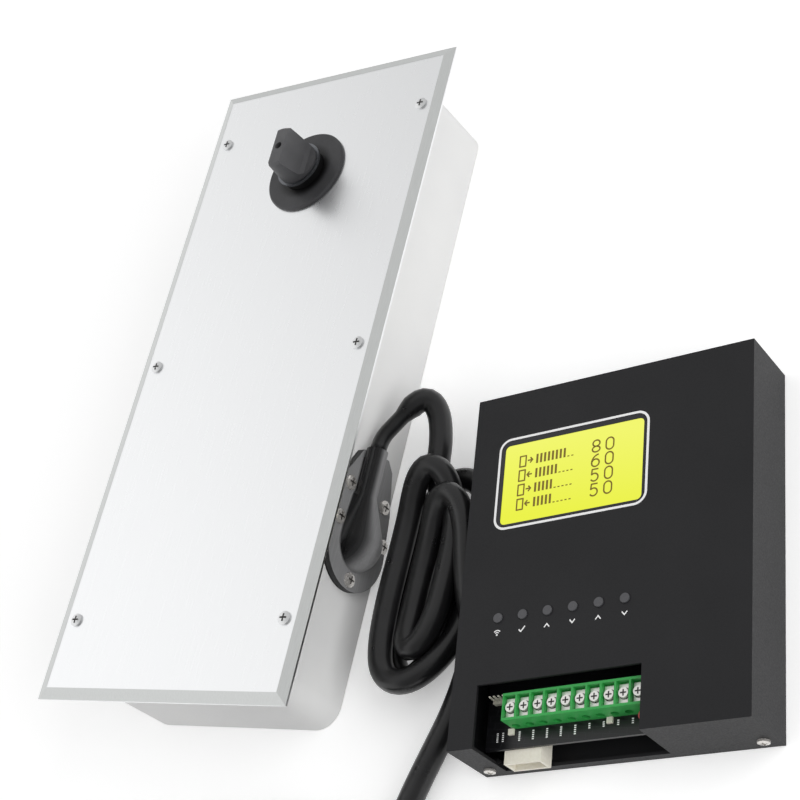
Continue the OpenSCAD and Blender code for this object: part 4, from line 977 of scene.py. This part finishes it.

# %% [markdown]
# The display shows four rows. Each has a symbol of a door leaf with an arrow, a row of ten level
# blocks, and a number. The symbol and the number are short straight strokes that run a little into
# each other, and the blocks are small rectangles.

# %% Display characters
STROKE = 0.78
DIGIT_W, DIGIT_H = 3.9, 6.2
ROW_PITCH = 7.65
FIRST_ROW_TOP = 54.2
DIGIT_X, DIGIT_PITCH = -7.6, 7.1
LEAF_X0, LEAF_X1, LEAF_INSET = -46.4, -43.2, 0.3
ARROW_LEFT, ARROW_RIGHT, ARROW_HEAD, ARROW_HALF = -42.0, -39.6, 1.1, 1.3
BLOCKS, BLOCK_X, BLOCK_PITCH, BLOCK_W = 10, -37.6, 2.1, 1.15
BLOCK_FOOT, BLOCK_ON, BLOCK_OFF = 0.6, 5.0, 0.6


def arc_line(x, y, reach_x, reach_y, start, end, steps=16):
    """Points on part of an ellipse, from one angle to another."""
    angles = [math.radians(start + (end - start) * k / steps) for k in range(steps + 1)]
    return [(x + reach_x * math.cos(a), y + reach_y * math.sin(a)) for a in angles]


def digit_line(character):
    """The strokes of a digit in a box from (0, 0) to (1, 1)."""
    if character == "0":
        return [arc_line(0.5, 0.68, 0.5, 0.32, 0, 180) + arc_line(0.5, 0.32, 0.5, 0.32, 180, 360)
                + [(1, 0.68)]]
    if character == "8":
        return [arc_line(0.5, 0.74, 0.46, 0.26, 0, 360, 24),
                arc_line(0.5, 0.24, 0.5, 0.24, 0, 360, 24)]
    if character == "6":
        return [arc_line(0.5, 0.31, 0.5, 0.31, 0, 360, 24),
                arc_line(0.98, 0.34, 0.98, 0.66, 98, 178, 14)]
    return [[(0.9, 1.0), (0.14, 1.0), (0.08, 0.58)] + arc_line(0.45, 0.33, 0.5, 0.32, 128, -145, 20)]


rows = []
for row, (value, opens) in enumerate((("80", True), ("60", False), ("50", True), ("50", False))):
    foot = FIRST_ROW_TOP - DIGIT_H - row * ROW_PITCH
    for place_in_value, character in enumerate(value):
        x = DIGIT_X + place_in_value * DIGIT_PITCH
        for line in digit_line(character):
            rows += stroke_shapes([(x + px * DIGIT_W, foot + py * DIGIT_H) for px, py in line],
                                  STROKE)
    leaf = (LEAF_X0, foot + LEAF_INSET, LEAF_X1, foot + DIGIT_H - LEAF_INSET)
    rows += stroke_shapes(box_shape(*leaf) + [leaf[:2]], STROKE)
    middle = foot + DIGIT_H / 2
    tip, tail_end = (ARROW_RIGHT, ARROW_LEFT) if opens else (ARROW_LEFT, ARROW_RIGHT)
    back = tip - (ARROW_HEAD if opens else -ARROW_HEAD)
    rows += stroke_shapes([(tip, middle), (tail_end, middle)], STROKE)
    rows += stroke_shapes([(back, middle + ARROW_HALF), (tip, middle), (back, middle - ARROW_HALF)],
                          STROKE)
    for block in range(BLOCKS):
        x = BLOCK_X + block * BLOCK_PITCH
        height = BLOCK_ON if block < int(value) // BLOCKS else BLOCK_OFF
        rows.append(box_shape(x, foot + BLOCK_FOOT, x + BLOCK_W, foot + BLOCK_FOOT + height))

glass_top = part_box("display_window")[1].z / MM
printed("display_characters", rows, glass_top + INK, crystal_ink)
print("display strokes:", len(rows))

# %% [markdown]
# Below each button is a plain symbol: radio waves for pairing, a tick for confirm, and arrows
# for the menu and for the values.

# %% Button symbols
BUTTON_X = [-51.2 + k * 12.85 for k in range(6)]
SYMBOL_Y = -36.0
symbols = []
for k, x in enumerate(BUTTON_X):
    if k == 0:
        for radius in (1.1, 2.1):
            arc = arc_line(x, SYMBOL_Y - 1, radius, radius, 140, 40, 5)
            symbols += [bar_shape(p, q, 0.5) for p, q in zip(arc, arc[1:])]
        symbols.append(box_shape(x - 0.4, SYMBOL_Y - 1.5, x + 0.4, SYMBOL_Y - 0.7))
    elif k == 1:
        symbols += [bar_shape((x - 1.5, SYMBOL_Y), (x - 0.4, SYMBOL_Y - 1.2), 0.6),
                    bar_shape((x - 0.5, SYMBOL_Y - 1.3), (x + 1.6, SYMBOL_Y + 1.3), 0.6)]
    else:
        way = 1 if k % 2 == 0 else -1
        symbols += [bar_shape((x - 1.3, SYMBOL_Y - way * 0.9), (x + 0.15, SYMBOL_Y + way * 0.9), 0.55),
                    bar_shape((x - 0.15, SYMBOL_Y + way * 0.9), (x + 1.3, SYMBOL_Y - way * 0.9), 0.55)]
printed("button_symbols", symbols, FACE_Z + INK, white_ink)

# %% [markdown]
# In the wire bay, the board below the ten terminals carries rows of small white marks, which stand
# for the names of the terminals.

# %% Board marks
TERMINAL_X = [-48.2 + (k + 0.5) * 7.0 for k in range(10)]
TERMINAL_Y = (-76.6, -63.9)
MARK_PITCH = 0.95

marks = []
for k, x in enumerate(TERMINAL_X):
    for step in range(5 if k < 5 else 3):
        y = -78.6 - step * MARK_PITCH
        marks.append(box_shape(x - 0.55, y, x + 0.45, y + 0.6))
for x in (-56.0, -53.2):
    for step in range(5):
        y = -78.2 - step * MARK_PITCH
        marks.append(box_shape(x - 0.5, y, x + 0.4, y + 0.5))
printed("board_marks", marks, BOARD_Z + INK, white_ink)
print("board marks:", len(marks))

# %% [markdown]
# The capacitor's sleeve ends in a red rim, a flat ring that lies on its top.

# %% Capacitor rim
material, tree, shader, place = surface("red_sleeve_print", "#c8504c", 0.0, 0.4)
tree.links.new(tint(tree, grain(tree, place, 0.5), "#bf4a47", "#d05a55"), shader.inputs["Base Color"])
ring_piece("capacitor_rim", 19.3, -79.6, BOARD_Z + 5.95, 2.55, 1.9, 0.12, material)

# %% [markdown]
# Round each terminal screw is a narrow gap painted dark, a painted shadow, and its cross recess is
# painted dark as painted shade. Both are thin shapes on the metal, as the print is.

# %% Terminal screws
terminal_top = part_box("terminal_screws")[1].z / MM
clamp_y = sum(TERMINAL_Y) / 2
GAP_DEPTH = 1.64
crosses = [cross_shape(x, clamp_y, 1.5, 0.62) for x in TERMINAL_X]
printed("terminal_recesses", crosses, terminal_top + INK, recess_shade)
for k, x in enumerate(TERMINAL_X):
    ring_piece(f"terminal_gap_{k + 1}", x, clamp_y, terminal_top - GAP_DEPTH, 2.72, 2.34, INK,
               recess_shade)
